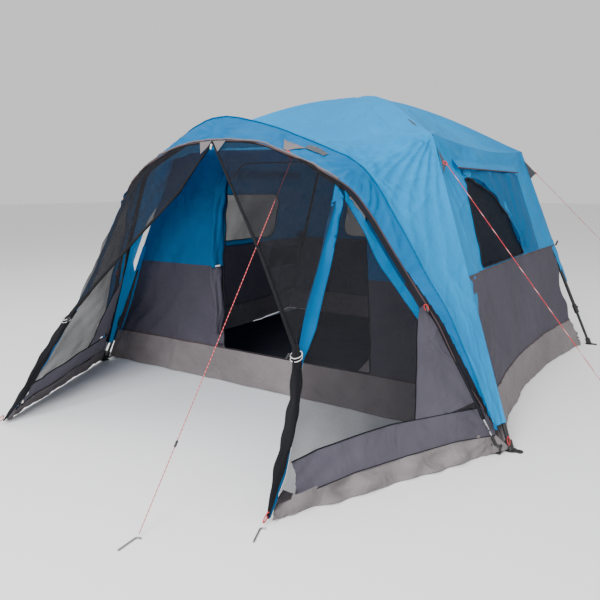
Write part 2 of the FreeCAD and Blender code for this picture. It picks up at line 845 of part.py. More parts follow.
def guy_lines():
    """Taut cords from the tabs to the ground, each with the slight sag of its own weight."""
    for name, (top, ground) in GUYS.items():
        middle = between(top, ground, 0.5) - UP * CORD_SAG
        points = [top, middle, ground]
        radii = largest_bends(points)
        cord, length = rod_along(points, radii, size("cord_radius"))
        print(f"guy line {name}: length {length:.0f} mm, bend radius {radii[0]:.0f} mm")
        shape_part(f"guy_line_{name}", cord)


def peg(point, lean):
    """A bent wire peg that lies along the ground surface beside its cord."""
    along = Vector(lean.x, lean.y, 0).normalize()
    across = Vector(-along.y, along.x, 0)
    radius = size("peg_radius")
    base = Vector(point.x, point.y, radius + GROUND_GAP)
    points = [base + across * size("peg_hook"), base, base + along * size("peg_length")]
    rod, _ = rod_along(points, [size("peg_bend")], radius)
    return rod


def pegs():
    rods = []
    for side in (1, -1):
        rods.append(peg(stake(side) + PEG_PAST_STAKE, Vector(side * STAKE_LEAN, -1, 0)))
    for top, ground in GUYS.values():
        outward_dir = ground - top
        shift = Vector(outward_dir.x, outward_dir.y, 0).normalize() * PEG_PAST_CORD
        rods.append(peg(ground + shift, outward_dir))
    shape_part("ground_pegs", Part.makeCompound(rods))


# ---------------------------------------------------------------------------------------------
# The whole tent
# ---------------------------------------------------------------------------------------------
hub()
hub_pins()
hub_cap()
for corner_name, corner_points in corners.items():
    roof_arm(corner_name, corner_points)
    elbow(corner_name, corner_points)
    bored_elbow(corner_name)
    upper_leg(corner_name, corner_points)
    leg_collar(corner_name, corner_points)
    release_button(corner_name, corner_points)
    lower_leg(corner_name, corner_points)
    foot(corner_name, corner_points)
    roof_quarter(corner_name, corner_points)
porch_poles()
porch_bow()
porch_ferrules()
porch_tips()
porch_sockets()
groundsheet()
walls()
door_flap()
porch_walls()
porch_roof()
screen_rolls()
guy_lines()
pegs()
doc.recompute()

for obj in doc.Objects:
    if "Invalid" in obj.State or "Error" in obj.State:
        raise ValueError(f"{obj.Label} failed to recompute: {obj.State}")
for part in SUB_PARTS:
    if part.Shape.isNull() or not part.Shape.isValid():
        raise ValueError(f"{part.Label} has no valid shape")

os.makedirs("parts", exist_ok=True)
for part in SUB_PARTS:
    part.Shape.exportStep(f"parts/{part.Label}.step")
print(f"{len(SUB_PARTS)} sub-parts written")
for name, corner in corners.items():
    print(name, "leg fold", round(corner.fold, 2), "arm", round((corner.arm_end - corner.hinge).Length, 1))
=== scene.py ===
import math

import bpy
import numpy as np
from mathutils import Euler, Matrix, Vector
from mathutils.geometry import delaunay_2d_cdt


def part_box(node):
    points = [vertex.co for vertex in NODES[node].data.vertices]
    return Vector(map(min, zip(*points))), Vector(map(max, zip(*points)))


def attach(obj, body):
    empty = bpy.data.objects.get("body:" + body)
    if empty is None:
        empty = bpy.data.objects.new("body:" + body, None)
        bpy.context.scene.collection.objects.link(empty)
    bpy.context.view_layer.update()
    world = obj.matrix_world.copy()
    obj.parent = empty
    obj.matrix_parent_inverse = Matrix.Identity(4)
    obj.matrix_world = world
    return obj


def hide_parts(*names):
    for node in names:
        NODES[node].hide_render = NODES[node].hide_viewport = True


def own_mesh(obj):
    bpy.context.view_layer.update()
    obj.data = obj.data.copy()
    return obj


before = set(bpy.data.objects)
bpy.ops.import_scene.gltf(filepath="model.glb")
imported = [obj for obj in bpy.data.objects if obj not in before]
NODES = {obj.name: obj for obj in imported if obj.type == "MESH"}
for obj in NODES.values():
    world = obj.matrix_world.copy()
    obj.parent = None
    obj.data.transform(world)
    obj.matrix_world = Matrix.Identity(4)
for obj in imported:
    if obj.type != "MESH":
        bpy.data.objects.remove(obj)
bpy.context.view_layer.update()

# ---------------- main sizes, in metres
TOP = 1.74  # height of the cloth's shoulders
PEAK = 2.155
SHOULDER = (1.06, 1.07)
SPLAY = (0.64, 0.30)  # from a shoulder out to its foot
SKIRT = 0.25
SOLE = 0.004  # the skirts' lower edge
STAND_OFF = 0.14  # how far the walls stand off the back right leg below their seam
EAVE_SAG = 0.05
EAVE_POWER = 1.8  # how late the eave's sag ends towards a shoulder
ROOF_CROWN = 0.42
HEM_DRAW = 0.035  # how far the walls draw in below their seam
TAPE_RISE = 0.0012
BEAN_SQUARE = 2.6
BEAN_WAIST = 0.18
CORNERS = {"front_right": (1, -1), "front_left": (-1, -1), "back_right": (1, 1), "back_left": (-1, 1)}
# outward and lateral directions, depth and half width at the shoulders and their growth, hem pull, colour seam
SIDES = {
    "front": ((0, -1, 0), (1, 0, 0), 1.07, 0.30, 1.06, 0.64, 0.02, 0.85),
    "back": ((0, 1, 0), (1, 0, 0), 1.07, 0.30, 1.06, 0.64, 0.08, 0.88),
    "right": ((1, 0, 0), (0, 1, 0), 1.06, 0.64, 1.07, 0.30, 0.165, 0.91),
    "left": ((-1, 0, 0), (0, 1, 0), 1.06, 0.64, 1.07, 0.30, 0.165, 0.88),
}
HALVES = {
    "front": {1: "front_right", -1: "front_left"},
    "back": {1: "back_right", -1: "back_left"},
    "right": {1: "back_right", -1: "front_right"},
    "left": {1: "back_left", -1: "front_left"},
}


# ---------------- materials
def tree_of(name):
    made = bpy.data.materials.new(name)
    made.use_nodes = True
    made.node_tree.nodes.clear()
    return made, made.node_tree


def node(tree, kind, settings=(), **inputs):
    made = tree.nodes.new("ShaderNode" + kind)
    for key, value in dict(settings).items():
        setattr(made, key, value)
    for key, value in inputs.items():
        socket = made.inputs[key.replace("_", " ")] if not key.startswith("i") else made.inputs[int(key[1:])]
        if isinstance(value, bpy.types.NodeSocket):
            tree.links.new(value, socket)
        else:
            socket.default_value = value
    return made


def rgba(colour):
    return (*colour, 1.0)


def two_tones(tree, coords, light, dark, scale):
    cloud = node(tree, "TexNoise", Vector=coords, Scale=scale, Detail=4.0, Roughness=0.6)
    ramp = node(tree, "ValToRGB", Fac=cloud.outputs["Fac"])
    for element, position, colour in zip(ramp.color_ramp.elements, (0.36, 0.64), (dark, light)):
        element.position = position
        element.color = rgba(colour)
    return ramp.outputs["Color"]


def maths(tree, operation, a, b):
    return node(tree, "Math", {"operation": operation}, i0=a, i1=b).outputs[0]


def mixed(tree, share, first, second):
    return node(tree, "MixShader", Fac=share, i1=first.outputs[0], i2=second.outputs[0])


def cloth_material(name, light, dark, roughness, thin, crumple, grain=130.0, sheen=0.0):
    """Woven cloth with packing folds. thin is the share of the light that comes through it."""
    made, tree = tree_of(name)
    coords = node(tree, "TexCoord").outputs["Object"]
    colour = two_tones(tree, coords, light, dark, 1.4)
    # the woven threads, as crossed bands
    bands = {"Vector": coords, "Scale": grain, "Distortion": 0.6}
    threads = [node(tree, "TexWave", {"bands_direction": way}, **bands).outputs["Fac"] for way in "XYZ"]
    weave = maths(tree, "ADD", maths(tree, "MULTIPLY", threads[0], threads[1]), threads[2])
    tinted = node(tree, "MixRGB", {"blend_type": "MULTIPLY"}, Fac=0.10, Color1=colour, Color2=weave)
    # packing folds: long soft ones, and a net of short sharp ones
    soft = node(tree, "TexNoise", Vector=coords, Scale=4.5, Detail=5.0, Roughness=0.55, Distortion=1.1)
    bend = node(tree, "TexNoise", Vector=coords, Scale=3.0, Detail=2.0)
    shift = node(tree, "MixRGB", Fac=0.22, Color1=coords, Color2=bend.outputs["Color"])
    sharp = node(tree, "TexVoronoi", {"feature": "DISTANCE_TO_EDGE"}, Vector=shift.outputs[0], Scale=5.0)
    limit = maths(tree, "MINIMUM", sharp.outputs["Distance"], 0.10)
    bump = node(tree, "Bump", Strength=0.55 * crumple, Distance=0.02, Height=soft.outputs["Fac"])
    for strength, distance, height in ((0.35 * crumple, 0.02, limit), (0.15, 0.0006, weave)):
        bump = node(
            tree, "Bump", Strength=strength, Distance=distance, Height=height, Normal=bump.outputs[0]
        )
    worn = node(tree, "MapRange", Value=soft.outputs["Fac"], i3=roughness - 0.08, i4=roughness + 0.1)
    surface = {"Normal": bump.outputs[0]}
    shader = node(
        tree, "BsdfPrincipled", Base_Color=tinted.outputs[0], Roughness=worn.outputs[0], **surface
    )
    shader.inputs["Sheen Weight"].default_value = sheen
    shader.inputs["Specular IOR Level"].default_value = 0.14
    back = node(tree, "BsdfTranslucent", Color=tinted.outputs[0], **surface)
    node(tree, "OutputMaterial", Surface=mixed(tree, thin, shader, back).outputs[0])
    return made


def net_material(name, colour, weight):
    """Fly mesh: a dark net that lets part of the light through, and less of it where it is seen from the side."""
    made, tree = tree_of(name)
    coords = node(tree, "TexCoord").outputs["Object"]
    cloud = node(tree, "TexNoise", Vector=coords, Scale=3.0, Detail=4.0, Distortion=0.8).outputs["Fac"]
    holes = node(tree, "TexNoise", Vector=coords, Scale=420.0, Detail=1.0).outputs["Fac"]
    share = node(tree, "MapRange", Value=cloud, i1=0.3, i2=0.7, i3=0.88 * weight, i4=1.12 * weight)
    fine = node(tree, "MapRange", Value=holes, i1=0.3, i2=0.7, i3=0.8, i4=1.2)
    threads = maths(tree, "MULTIPLY", share.outputs[0], fine.outputs[0])
    facing = node(tree, "LayerWeight").outputs["Facing"]
    slope = node(tree, "MapRange", Value=facing, i1=0.0, i2=0.85, i3=1.0, i4=0.36)
    passed = maths(tree, "POWER", math.exp(-1.0), maths(tree, "DIVIDE", threads, slope.outputs[0]))
    thread = two_tones(tree, coords, colour, tuple(0.7 * c for c in colour), 40.0)
    bump = node(tree, "Bump", Strength=0.3, Distance=0.01, Height=cloud)
    shader = node(tree, "BsdfPrincipled", Base_Color=thread, Roughness=0.8, Normal=bump.outputs[0])
    shader.inputs["Specular IOR Level"].default_value = 0.08
    lit = mixed(tree, 0.45, shader, node(tree, "BsdfTranslucent", Color=thread))
    clear = node(tree, "BsdfTransparent")
    both = mixed(tree, maths(tree, "SUBTRACT", 1.0, passed), clear, lit)
    node(tree, "OutputMaterial", Surface=both.outputs[0])
    return made


def hard_material(name, light, dark, roughness, metallic, scale, bumps=0.15, streak=None):
    made, tree = tree_of(name)
    coords = node(tree, "TexCoord").outputs["Object"]
    colour = two_tones(tree, coords, light, dark, scale)
    if streak:
        ways = {"bands_direction": "DIAGONAL"}
        band = node(tree, "TexWave", ways, Vector=coords, Scale=streak[1], Distortion=1.5)
        mask = maths(tree, "GREATER_THAN", band.outputs["Fac"], 0.85)
        colour = node(tree, "MixRGB", Fac=mask, Color1=colour, Color2=rgba(streak[0])).outputs[0]
    grain = node(tree, "TexNoise", Vector=coords, Scale=scale * 9, Detail=3.0).outputs["Fac"]
    worn = node(tree, "MapRange", Value=grain, i3=roughness - 0.08, i4=roughness + 0.1).outputs[0]
    bump = node(tree, "Bump", Strength=bumps, Distance=0.001, Height=grain).outputs[0]
    shader = node(tree, "BsdfPrincipled", Base_Color=colour, Roughness=worn, Normal=bump)
    shader.inputs["Metallic"].default_value = metallic
    node(tree, "OutputMaterial", Surface=shader.outputs[0])
    return made


BLUE = cloth_material("sky_blue_cloth", (0.0, 0.275, 0.62), (0.0, 0.23, 0.54), 0.6, 0.16, 1.5)
# painted shade: a darker copy of the sky blue cloth, for the visor ahead of the hoop and the porch screens' first blue
# band
SHADE_BLUE = cloth_material("visor_cloth", (0.0, 0.135, 0.34), (0.0, 0.11, 0.285), 0.6, 0.06, 1.2)
# painted shade: a darker copy of the sky blue cloth, for the upper wall bands other than the right one, the window
# flap, the hoop seam, the porch screens' second blue band and the door flap's upper roll
WALL_SHADE_BLUE = cloth_material("wall_blue_cloth", (0.0, 0.155, 0.37), (0.0, 0.125, 0.31), 0.62, 0.25, 1.7)
GREY = cloth_material("purple_grey_cloth", (0.086, 0.080, 0.104), (0.068, 0.063, 0.084), 0.65, 0.14, 2.0)
# painted light: a lighter copy of the purple grey cloth, for the porch screens' grey wedge and band
LIT_SCREEN_GREY = cloth_material("screen_grey_cloth", (0.108, 0.102, 0.128), (0.084, 0.079, 0.102), 0.65, 0.28, 2.0)
HEM = cloth_material("skirt_cloth", (0.215, 0.192, 0.196), (0.160, 0.143, 0.147), 0.55, 0.06, 2.6)
TRIM = cloth_material("trim_tape", (0.085, 0.055, 0.058), (0.06, 0.04, 0.042), 0.6, 0.0, 0.3, 220.0)
DARK_TRIM = cloth_material("dark_trim", (0.013, 0.014, 0.019), (0.008, 0.009, 0.012), 0.65, 0.0, 0.3, 220.0)
PATCH = cloth_material("reinforcing_patch", (0.17, 0.15, 0.155), (0.13, 0.115, 0.12), 0.6, 0.0, 0.5, 220.0)
TAB = cloth_material("guy_tab", (0.06, 0.065, 0.08), (0.04, 0.045, 0.055), 0.6, 0.0, 0.5, 220.0, 0.15)
FLOOR_CLOTH = cloth_material("floor_sheet", (0.024, 0.024, 0.030), (0.017, 0.017, 0.022), 0.6, 0.0, 0.8)
NET = net_material("fly_mesh", (0.026, 0.026, 0.031), 0.98)
WINDOW_NET = net_material("window_mesh", (0.022, 0.028, 0.042), 1.9)
FAR_WINDOW_NET = net_material("far_window_mesh", (0.030, 0.030, 0.034), 1.3)
ROLLED = cloth_material("rolled_mesh", (0.012, 0.012, 0.014), (0.006, 0.006, 0.008), 0.8, 0.0, 1.8, 300.0)
RED = hard_material("red_webbing", (0.55, 0.03, 0.03), (0.40, 0.02, 0.02), 0.6, 0, 90.0)
FLECK = ((0.62, 0.30, 0.30), 22.0)
CORD = hard_material("guy_rope", (0.50, 0.02, 0.035), (0.38, 0.012, 0.02), 0.6, 0, 200.0, 0.4, FLECK)
NYLON = hard_material("black_nylon", (0.016, 0.016, 0.018), (0.009, 0.009, 0.010), 0.45, 0, 60.0, 0.25)
GREY_NYLON = hard_material("grey_nylon", (0.10, 0.10, 0.105), (0.075, 0.075, 0.08), 0.5, 0, 60.0, 0.25)
POLE = hard_material("black_pole_coat", (0.018, 0.018, 0.020), (0.012, 0.012, 0.013), 0.35, 0, 120.0, 0.1)
TUBE = hard_material("bare_tube", (0.62, 0.62, 0.62), (0.50, 0.50, 0.51), 0.32, 0.4, 120.0, 0.08)
STEEL = hard_material("peg_steel", (0.30, 0.30, 0.30), (0.22, 0.22, 0.23), 0.35, 0.9, 160.0, 0.1)
WHITE = hard_material("white_elastic", (0.62, 0.61, 0.60), (0.5, 0.5, 0.5), 0.6, 0, 100.0)
GROUND = hard_material("studio_floor", (0.86, 0.86, 0.87), (0.845, 0.845, 0.855), 0.9, 0, 0.6, 0.0)


# ---------------- making pieces
def unit(v):
    v = np.asarray(v, float)
    return v / np.linalg.norm(v)


def smooth_step(x):
    x = np.clip(x, 0, 1)
    return x * x * (3 - 2 * x)


def spread_over(values, count):
    """One value, or a row of values, spread evenly over count points."""
    if np.isscalar(values):
        return np.full(count, float(values))
    return np.interp(np.linspace(0, 1, count), np.linspace(0, 1, len(values)), values)


def quads(m, n, start=0, closed=False):
    """The faces of a grid of m by n points, which may close on itself the second way."""
    return [
        (start + i * n + j, start + i * n + k, start + (i + 1) * n + k, start + (i + 1) * n + j)
        for i in range(m - 1)
        for j, k in ((j, (j + 1) % n) for j in range(n if closed else n - 1))
    ]


def piece_from(name, verts, faces, material, body, slot, replaces=(), squash=None):
    data = bpy.data.meshes.new(name)
    data.from_pydata([tuple(map(float, v)) for v in verts], [], [tuple(int(i) for i in f) for f in faces])
    data.validate()
    data.polygons.foreach_set("use_smooth", [True] * len(data.polygons))
    data.materials.append(material)
    piece = bpy.data.objects.new(name, data)
    bpy.context.scene.collection.objects.link(piece)
    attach(piece, body)
    if replaces:
        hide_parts(*replaces)
    if squash:
        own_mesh(piece)
    return piece


class Relief:
    """Folds in a stretched cloth: long soft waves, and creases that fan out from points under tension."""

    def __init__(self, seed, size, longest=0.7, shortest=0.16, stars=(), fade=None, pulls=()):
        random = np.random.default_rng(seed)
        count = 12
        length = np.exp(random.uniform(math.log(shortest), math.log(longest), count))
        direction = random.normal(size=(count, 3))
        direction /= np.linalg.norm(direction, axis=1)[:, None]
        self.k = (direction * (2 * math.pi / length)[:, None]).T
        self.phase = random.uniform(0, 2 * math.pi, count)
        self.size = size
        self.stars = [(np.array(c, float), n, a, r, random.uniform(0, 6.28, 3)) for c, n, a, r in stars]
        self.fade = fade
        # each pull is a set of short sharp creases that run near one line, within a box
        self.pulls = []
        for low, high, count, line, tall in pulls:
            for _ in range(count):
                centre = random.uniform(low, high)
                across = np.cross(unit(line) + 0.38 * random.normal(size=3), random.normal(size=3))
                reach, width = random.uniform(0.12, 0.42), random.uniform(0.008, 0.016)
                self.pulls.append((centre, unit(across), reach, width, tall * random.uniform(0.35, 1.0)))

    def __call__(self, p, u, v, e1, e2):
        lift = self.size * np.sin(p @ self.k + self.phase).sum(1) / math.sqrt(len(self.phase))
        for centre, count, size, reach, phase in self.stars:
            away = p - centre
            far = np.linalg.norm(away, axis=1)
            angle = np.arctan2((away * e2).sum(1), (away * e1).sum(1))
            ray = count * angle + phase[0] + 0.8 * np.sin(3 * angle + phase[1]) + 0.5 * np.sin(9 * far + phase[2])
            lift = lift + size * (1 - 2 * np.abs(np.sin(0.5 * ray))) * np.exp(-far / reach) * np.clip(far / 0.08, 0, 1)
        for centre, across, reach, width, tall in self.pulls:
            away = p - centre
            lift = lift + tall * np.exp(-np.abs(away @ across) / width - (away * away).sum(1) / reach**2)
        if self.fade is not None:
            lift = lift * self.fade(p, u, v)
        return lift


def along(f, u, v, relief=None, lift=0.0, turn=1.0):
    """Points of the surface f at (u, v), moved out along its normal by the folds and by lift."""
    u = np.asarray(u, float)
    v = np.asarray(v, float)
    p = f(u, v)
    step = 1e-3
    e1 = f(u + step, v) - p
    e2 = f(u, v + step) - p
    e1 /= np.maximum(np.linalg.norm(e1, axis=1), 1e-9)[:, None]
    e2 /= np.maximum(np.linalg.norm(e2, axis=1), 1e-9)[:, None]
    normal = np.cross(e1, e2)
    normal *= turn / np.maximum(np.linalg.norm(normal, axis=1), 1e-9)[:, None]
    height = np.full(len(u), float(lift)) if np.isscalar(lift) else lift
    if relief is not None:
        height = height + relief(p, u, v, e1, e2)
    return p + normal * height[:, None]


def grid_piece(name, f, us, vs, material, body, relief=None, lift=0.0, turn=1.0, **extra):
    u, v = np.meshgrid(us, vs, indexing="ij")
    p = along(f, u.ravel(), v.ravel(), relief, lift, turn)
    return piece_from(name, p, quads(len(us), len(vs)), material, body, **extra)


def inside(points, outline):
    x, y = points[:, 0], points[:, 1]
    odd = np.zeros(len(points), bool)
    for (x0, y0), (x1, y1) in zip(outline, np.roll(outline, -1, axis=0)):
        crosses = (y0 > y) != (y1 > y)
        if y1 != y0:
            odd ^= crosses & (x < (x1 - x0) * (y - y0) / (y1 - y0) + x0)
    return odd


def divided(outline, spacing, closed=True):
    outline = [np.asarray(q, float) for q in outline]
    following = outline[1:] + (outline[:1] if closed else [])
    points = []
    for a, b in zip(outline, following):
        count = max(1, int(math.ceil(np.linalg.norm(b - a) / spacing)))
        points += [a + (b - a) * i / count for i in range(count)]
    if not closed:
        points.append(outline[-1])
    return np.array(points)


def rounded(outline, radius):
    """The outline with its corners rounded off."""
    outline = [np.asarray(q, float) for q in outline]
    made = []
    for i, q in enumerate(outline):
        before, after = outline[i - 1] - q, outline[(i + 1) % len(outline)] - q
        cut = min(radius, 0.45 * np.linalg.norm(before), 0.45 * np.linalg.norm(after))
        a, b = q + unit(before) * cut, q + unit(after) * cut
        made += [a * (1 - t) ** 2 + 2 * q * t * (1 - t) + b * t * t for t in np.linspace(0, 1, 7)]
    return np.array(made)


def region_piece(
    name, f, outline, material, body, holes=(), spacing=0.03, relief=None, lift=0.0, turn=1.0, scale=(1, 1), **extra
):
    """A cloth panel cut to an outline, with holes, on the surface f."""
    scale = np.array(scale, float)
    rings = [divided(np.asarray(r) * scale, spacing) for r in (outline, *holes)]
    low, high = rings[0].min(0), rings[0].max(0)
    rows = np.arange(low[1], high[1], spacing * 0.87)
    columns = np.arange(low[0], high[0], spacing)
    inner = np.array([(x + (i % 2) * spacing / 2, y) for i, y in enumerate(rows) for x in columns])
    edge = np.concatenate(rings)
    keep = inside(inner, rings[0])
    for ring in rings[1:]:
        keep &= ~inside(inner, ring)
    inner = inner[keep]
    if len(inner):
        near = np.array([np.min(((edge - q) ** 2).sum(1)) for q in inner])
        inner = inner[near > (0.5 * spacing) ** 2]
    points = np.concatenate([edge, inner]) if len(inner) else edge
    edges, start = [], 0
    for ring in rings:
        edges += [(start + i, start + (i + 1) % len(ring)) for i in range(len(ring))]
        start += len(ring)
    result = delaunay_2d_cdt([Vector(q) for q in points], edges, [], 0, 1e-5)
    flat = np.array([tuple(q) for q in result[0]])
    faces = np.array([tuple(q) for q in result[2] if len(q) == 3])
    middle = flat[faces].mean(1)
    good = inside(middle, rings[0])
    for ring in rings[1:]:
        good &= ~inside(middle, ring)
    faces = faces[good]
    used = np.unique(faces)
    index = np.full(len(flat), -1)
    index[used] = np.arange(len(used))
    flat = flat[used] / scale
    p = along(f, flat[:, 0], flat[:, 1], relief, lift, turn)
    return piece_from(name, p, index[faces], material, body, **extra)


def frames_along(path):
    path = np.asarray(path, float)
    tangent = np.gradient(path, axis=0)
    tangent /= np.linalg.norm(tangent, axis=1)[:, None]
    side = np.cross(tangent[0], (0.3, 0.2, 1.0) if abs(tangent[0][2]) < 0.9 else (1.0, 0.1, 0))
    sides = []
    for t in tangent:
        side = side - t * (side @ t)
        side = unit(side)
        sides.append(side)
    return path, tangent, np.array(sides)


def tube_piece(name, path, radius, material, body, sides=10, flat=1.0, wobble=None, **extra):
    """A tube along a path. radius may change along it; wobble(angle, share) makes it uneven."""
    path, tangent, side = frames_along(path)
    count = len(path)
    radii = spread_over(radius, count)
    angles = np.linspace(0, 2 * math.pi, sides, endpoint=False)
    verts = []
    for i in range(count):
        other = np.cross(tangent[i], side[i])
        for a in angles:
            r = radii[i] * (1 + (wobble(a, i / (count - 1)) if wobble else 0))
            verts.append(path[i] + side[i] * (r * math.cos(a)) + other * (r * flat * math.sin(a)))
    faces = quads(count, sides, closed=True)
    faces += [tuple(range(sides))[::-1], tuple((count - 1) * sides + j for j in range(sides))]
    return piece_from(name, verts, faces, material, body, **extra)


def ribbon_piece(name, path, width, facing, material, body, **extra):
    """A flat strap along a path; facing is the direction its face looks."""
    path, tangent, _ = frames_along(path)
    half = width / 2
    verts = []
    for i, p in enumerate(path):
        across = unit(np.cross(tangent[i], facing))
        up = unit(np.cross(across, tangent[i])) * TAPE_RISE
        verts += [p - across * half - up, p - across * half * 0.4 + up]
        verts += [p + across * half * 0.4 + up, p + across * half - up]
    faces = [(4 * i + j, 4 * i + j + 1, 4 * i + 5 + j, 4 * i + 4 + j) for i in range(len(path) - 1) for j in range(3)]
    return piece_from(name, verts, faces, material, body, **extra)


def powered(x, power):
    return math.copysign(abs(x) ** power, x)


def bean_piece(name, centre, along_axis, across_axis, size, material, body, **extra):
    """A small moulded toggle: a rounded bar with a waist where the cord is tied."""
    a = unit(along_axis)
    b = unit(np.asarray(across_axis, float) - a * np.dot(across_axis, a))
    c = np.cross(a, b)
    m, n = 14, 12
    power = 2 / BEAN_SQUARE
    verts = []
    for i in range(m + 1):
        t = -math.pi / 2 + math.pi * i / m
        x, ring = math.sin(t), abs(math.cos(t)) ** power
        ring *= 1 - BEAN_WAIST * math.exp(-((x / 0.25) ** 2))
        x = powered(x, power)
        for j in range(n):
            w = 2 * math.pi * j / n
            y, z = powered(math.cos(w), power) * ring, powered(math.sin(w), power) * ring
            verts.append(np.asarray(centre) + a * x * size[0] / 2 + b * y * size[1] / 2 + c * z * size[2] / 2)
    return piece_from(name, verts, quads(m + 1, n, closed=True), material, body, **extra)


def loop_path(start, end, swell, facing, count=15):
    """A drooping loop of webbing from start round end and back."""
    start, end = np.asarray(start, float), np.asarray(end, float)
    across = unit(np.cross(end - start, facing)) * swell
    t = np.linspace(0, 2 * math.pi, count)
    middle, reach = (start + end) / 2, (end - start) / 2
    return np.array([middle - reach * math.cos(w) + across * math.sin(w) for w in t])


def smooth_line(knots, points, count=401, window=9):
    s = np.linspace(0, 1, count)
    dense = np.stack([np.interp(s, knots, np.asarray(points)[:, i]) for i in range(3)], 1)
    padded = np.pad(dense, ((window, window), (0, 0)), mode="reflect", reflect_type="odd")
    core = np.ones(window) / window
    soft = np.stack([np.convolve(padded[:, i], core, "same") for i in range(3)], 1)[window:-window]
    soft[0], soft[-1] = dense[0], dense[-1]

    def line(t):
        t = np.clip(t, 0, 1)
        return np.stack([np.interp(t, s, soft[:, i]) for i in range(3)], -1)

    return line


def mirrored(knots, points):
    """A line given from the right foot to the middle, carried on to the left foot."""
    knots, points = list(knots), [tuple(p) for p in points]
    more = [(1 - k, (-p[0], p[1], p[2])) for k, p in zip(knots, points) if k < 0.5]
    return knots + [k for k, _ in more[::-1]], points + [p for _, p in more[::-1]]


# ---------------- camera, floor and light
CAMERA_PLACE = (2.443, -4.561, 1.410)
CAMERA_DROP, CAMERA_HEADING, CAMERA_ROLL = 0.1825, 0.589, -0.004  # in radians
CAMERA_LENS = 35.7
FLOOR_REACH = 60
FLOOR_LEVEL = -0.001  # just under what lies on it

camera = bpy.data.objects.new("camera", bpy.data.cameras.new("camera"))
bpy.context.scene.collection.objects.link(camera)
camera.data.lens = CAMERA_LENS
camera.data.sensor_width = 36.0
camera.data.clip_end = 200.0
turned = Euler((math.pi / 2 - CAMERA_DROP, 0, CAMERA_HEADING), "XYZ").to_matrix().to_4x4()
camera.matrix_world = Matrix.Translation(CAMERA_PLACE) @ turned @ Matrix.Rotation(CAMERA_ROLL, 4, "Z")
bpy.context.scene.camera = camera

floor_mesh = bpy.data.meshes.new("studio_floor")
turns = ((-1, -1), (1, -1), (1, 1), (-1, 1))
floor_corners = [(sx * FLOOR_REACH, sy * FLOOR_REACH, FLOOR_LEVEL) for sx, sy in turns]
floor_mesh.from_pydata(floor_corners, [], [(0, 1, 2, 3)])
floor_mesh.materials.append(GROUND)
studio_floor = bpy.data.objects.new("studio_floor", floor_mesh)
bpy.context.scene.collection.objects.link(studio_floor)


def area_light(name, place, target, size, power):
    light = bpy.data.lights.new(name, "AREA")
    light.shape = "DISK"
    light.size = size
    light.energy = power
    made = bpy.data.objects.new(name, light)
    bpy.context.scene.collection.objects.link(made)
    made.location = place
    made.rotation_euler = (Vector(target) - Vector(place)).to_track_quat("-Z", "Y").to_euler()


area_light("key", (1.6, -8.5, 5.0), (0, -0.6, 0.8), 4.0, 930)
area_light("top", (-1.5, -1.0, 8.0), (0, 0, 0), 6.0, 330)
area_light("side", (7.5, 1.0, 4.5), (0.6, 0, 1.0), 4.0, 75)

world = bpy.data.worlds.new("studio")
bpy.context.scene.world = world
world.use_nodes = True
world.node_tree.nodes["Background"].inputs["Color"].default_value = (1, 1, 1, 1)
world.node_tree.nodes["Background"].inputs["Strength"].default_value = 0.85

# ---------------- guy lines
# the three routes, from the cloth to the peg
GUY_ROUTES = {
    "porch": ((0.520, -1.752, 1.590), (0.577, -2.4075, 0.790), (0.634, -3.063, 0.010)),
    "front_right": ((1.180, -1.130, 1.560), (1.810, -1.200, 0.775), (2.440, -1.270, 0.010)),
    "back_right": ((1.180, 1.140, 1.550), (1.890, 1.445, 0.770), (2.600, 1.750, 0.010)),
}
GUY_WIDTH = 0.004


def nurbs_points(name, route):
    data = bpy.data.curves.new(name, "CURVE")
    data.dimensions = "3D"
    data.resolution_u = 24
    spline = data.splines.new("NURBS")
    spline.points.add(len(route) - 1)
    for point, place in zip(spline.points, route):
        point.co = (*place, 1.0)
    spline.order_u = 3
    spline.use_endpoint_u = True
    holder = bpy.data.objects.new(name, data)
    bpy.context.scene.collection.objects.link(holder)
    bpy.context.view_layer.update()
    mesh = bpy.data.meshes.new_from_object(holder)
    points = [tuple(v.co) for v in mesh.vertices]
    bpy.data.objects.remove(holder)
    return points


FLATTEN = ((0, 0, 1), (0, 0, 0.008), 0.02)  # squash for a line that drops to the ground as the hub comes down; piece_from uses it only to give the piece its own mesh
RUNNER_AT = 0.80
for guy, route in GUY_ROUTES.items():
    points = np.array(nurbs_points("guy_path_" + guy, route))
    rope = tube_piece(
        "guy_rope_" + guy, points, GUY_WIDTH / 2, CORD, "base", 8, slot="guy_cord",
        replaces=["guy_line_" + guy], squash=FLATTEN,
    )
    runner = bean_piece(
        "guy_runner_" + guy, points[int(len(points) * RUNNER_AT)], points[-1] - points[0], (0, 0, 1),
        (0.034, 0.012, 0.012), NYLON, "base", slot="black_nylon", squash=FLATTEN,
    )


# ---------------- the cabin's roof
def corner_point(name, z):
    sx, sy = CORNERS[name]
    q = 1 - z / TOP
    return np.array((sx * (SHOULDER[0] + SPLAY[0] * q), sy * (SHOULDER[1] + SPLAY[1] * q), z))


SHOULDERS = [corner_point(c, TOP) for c in CORNERS]


def roof_surface(side):
    out, lateral, d0, dd, w0, dw = (np.array(v) if isinstance(v, tuple) else v for v in SIDES[side][:6])

    def f(t, u):
        spread = 1 - np.abs(u) ** EAVE_POWER
        edge = TOP - EAVE_SAG * spread
        z = PEAK - (PEAK - TOP) * t + ROOF_CROWN * t * np.clip(1 - t, 0, 1) ** 1.5 - EAVE_SAG * spread * t
        depth = (d0 + dd * (1 - edge / TOP)) * t
        half = (w0 + dw * (1 - edge / TOP)) * t
        return out * depth[:, None] + lateral * (u * half)[:, None] + np.array((0, 0, 1.0)) * z[:, None]

    return f


def area_inside(outline):
    if len(outline) < 3:
        return 0.0
    x, y = np.array(outline, float).T
    return 0.5 * abs(float(np.dot(x, np.roll(y, -1)) - np.dot(y, np.roll(x, -1))))


def box_between(a, b):
    return np.minimum(a, b), np.maximum(a, b)


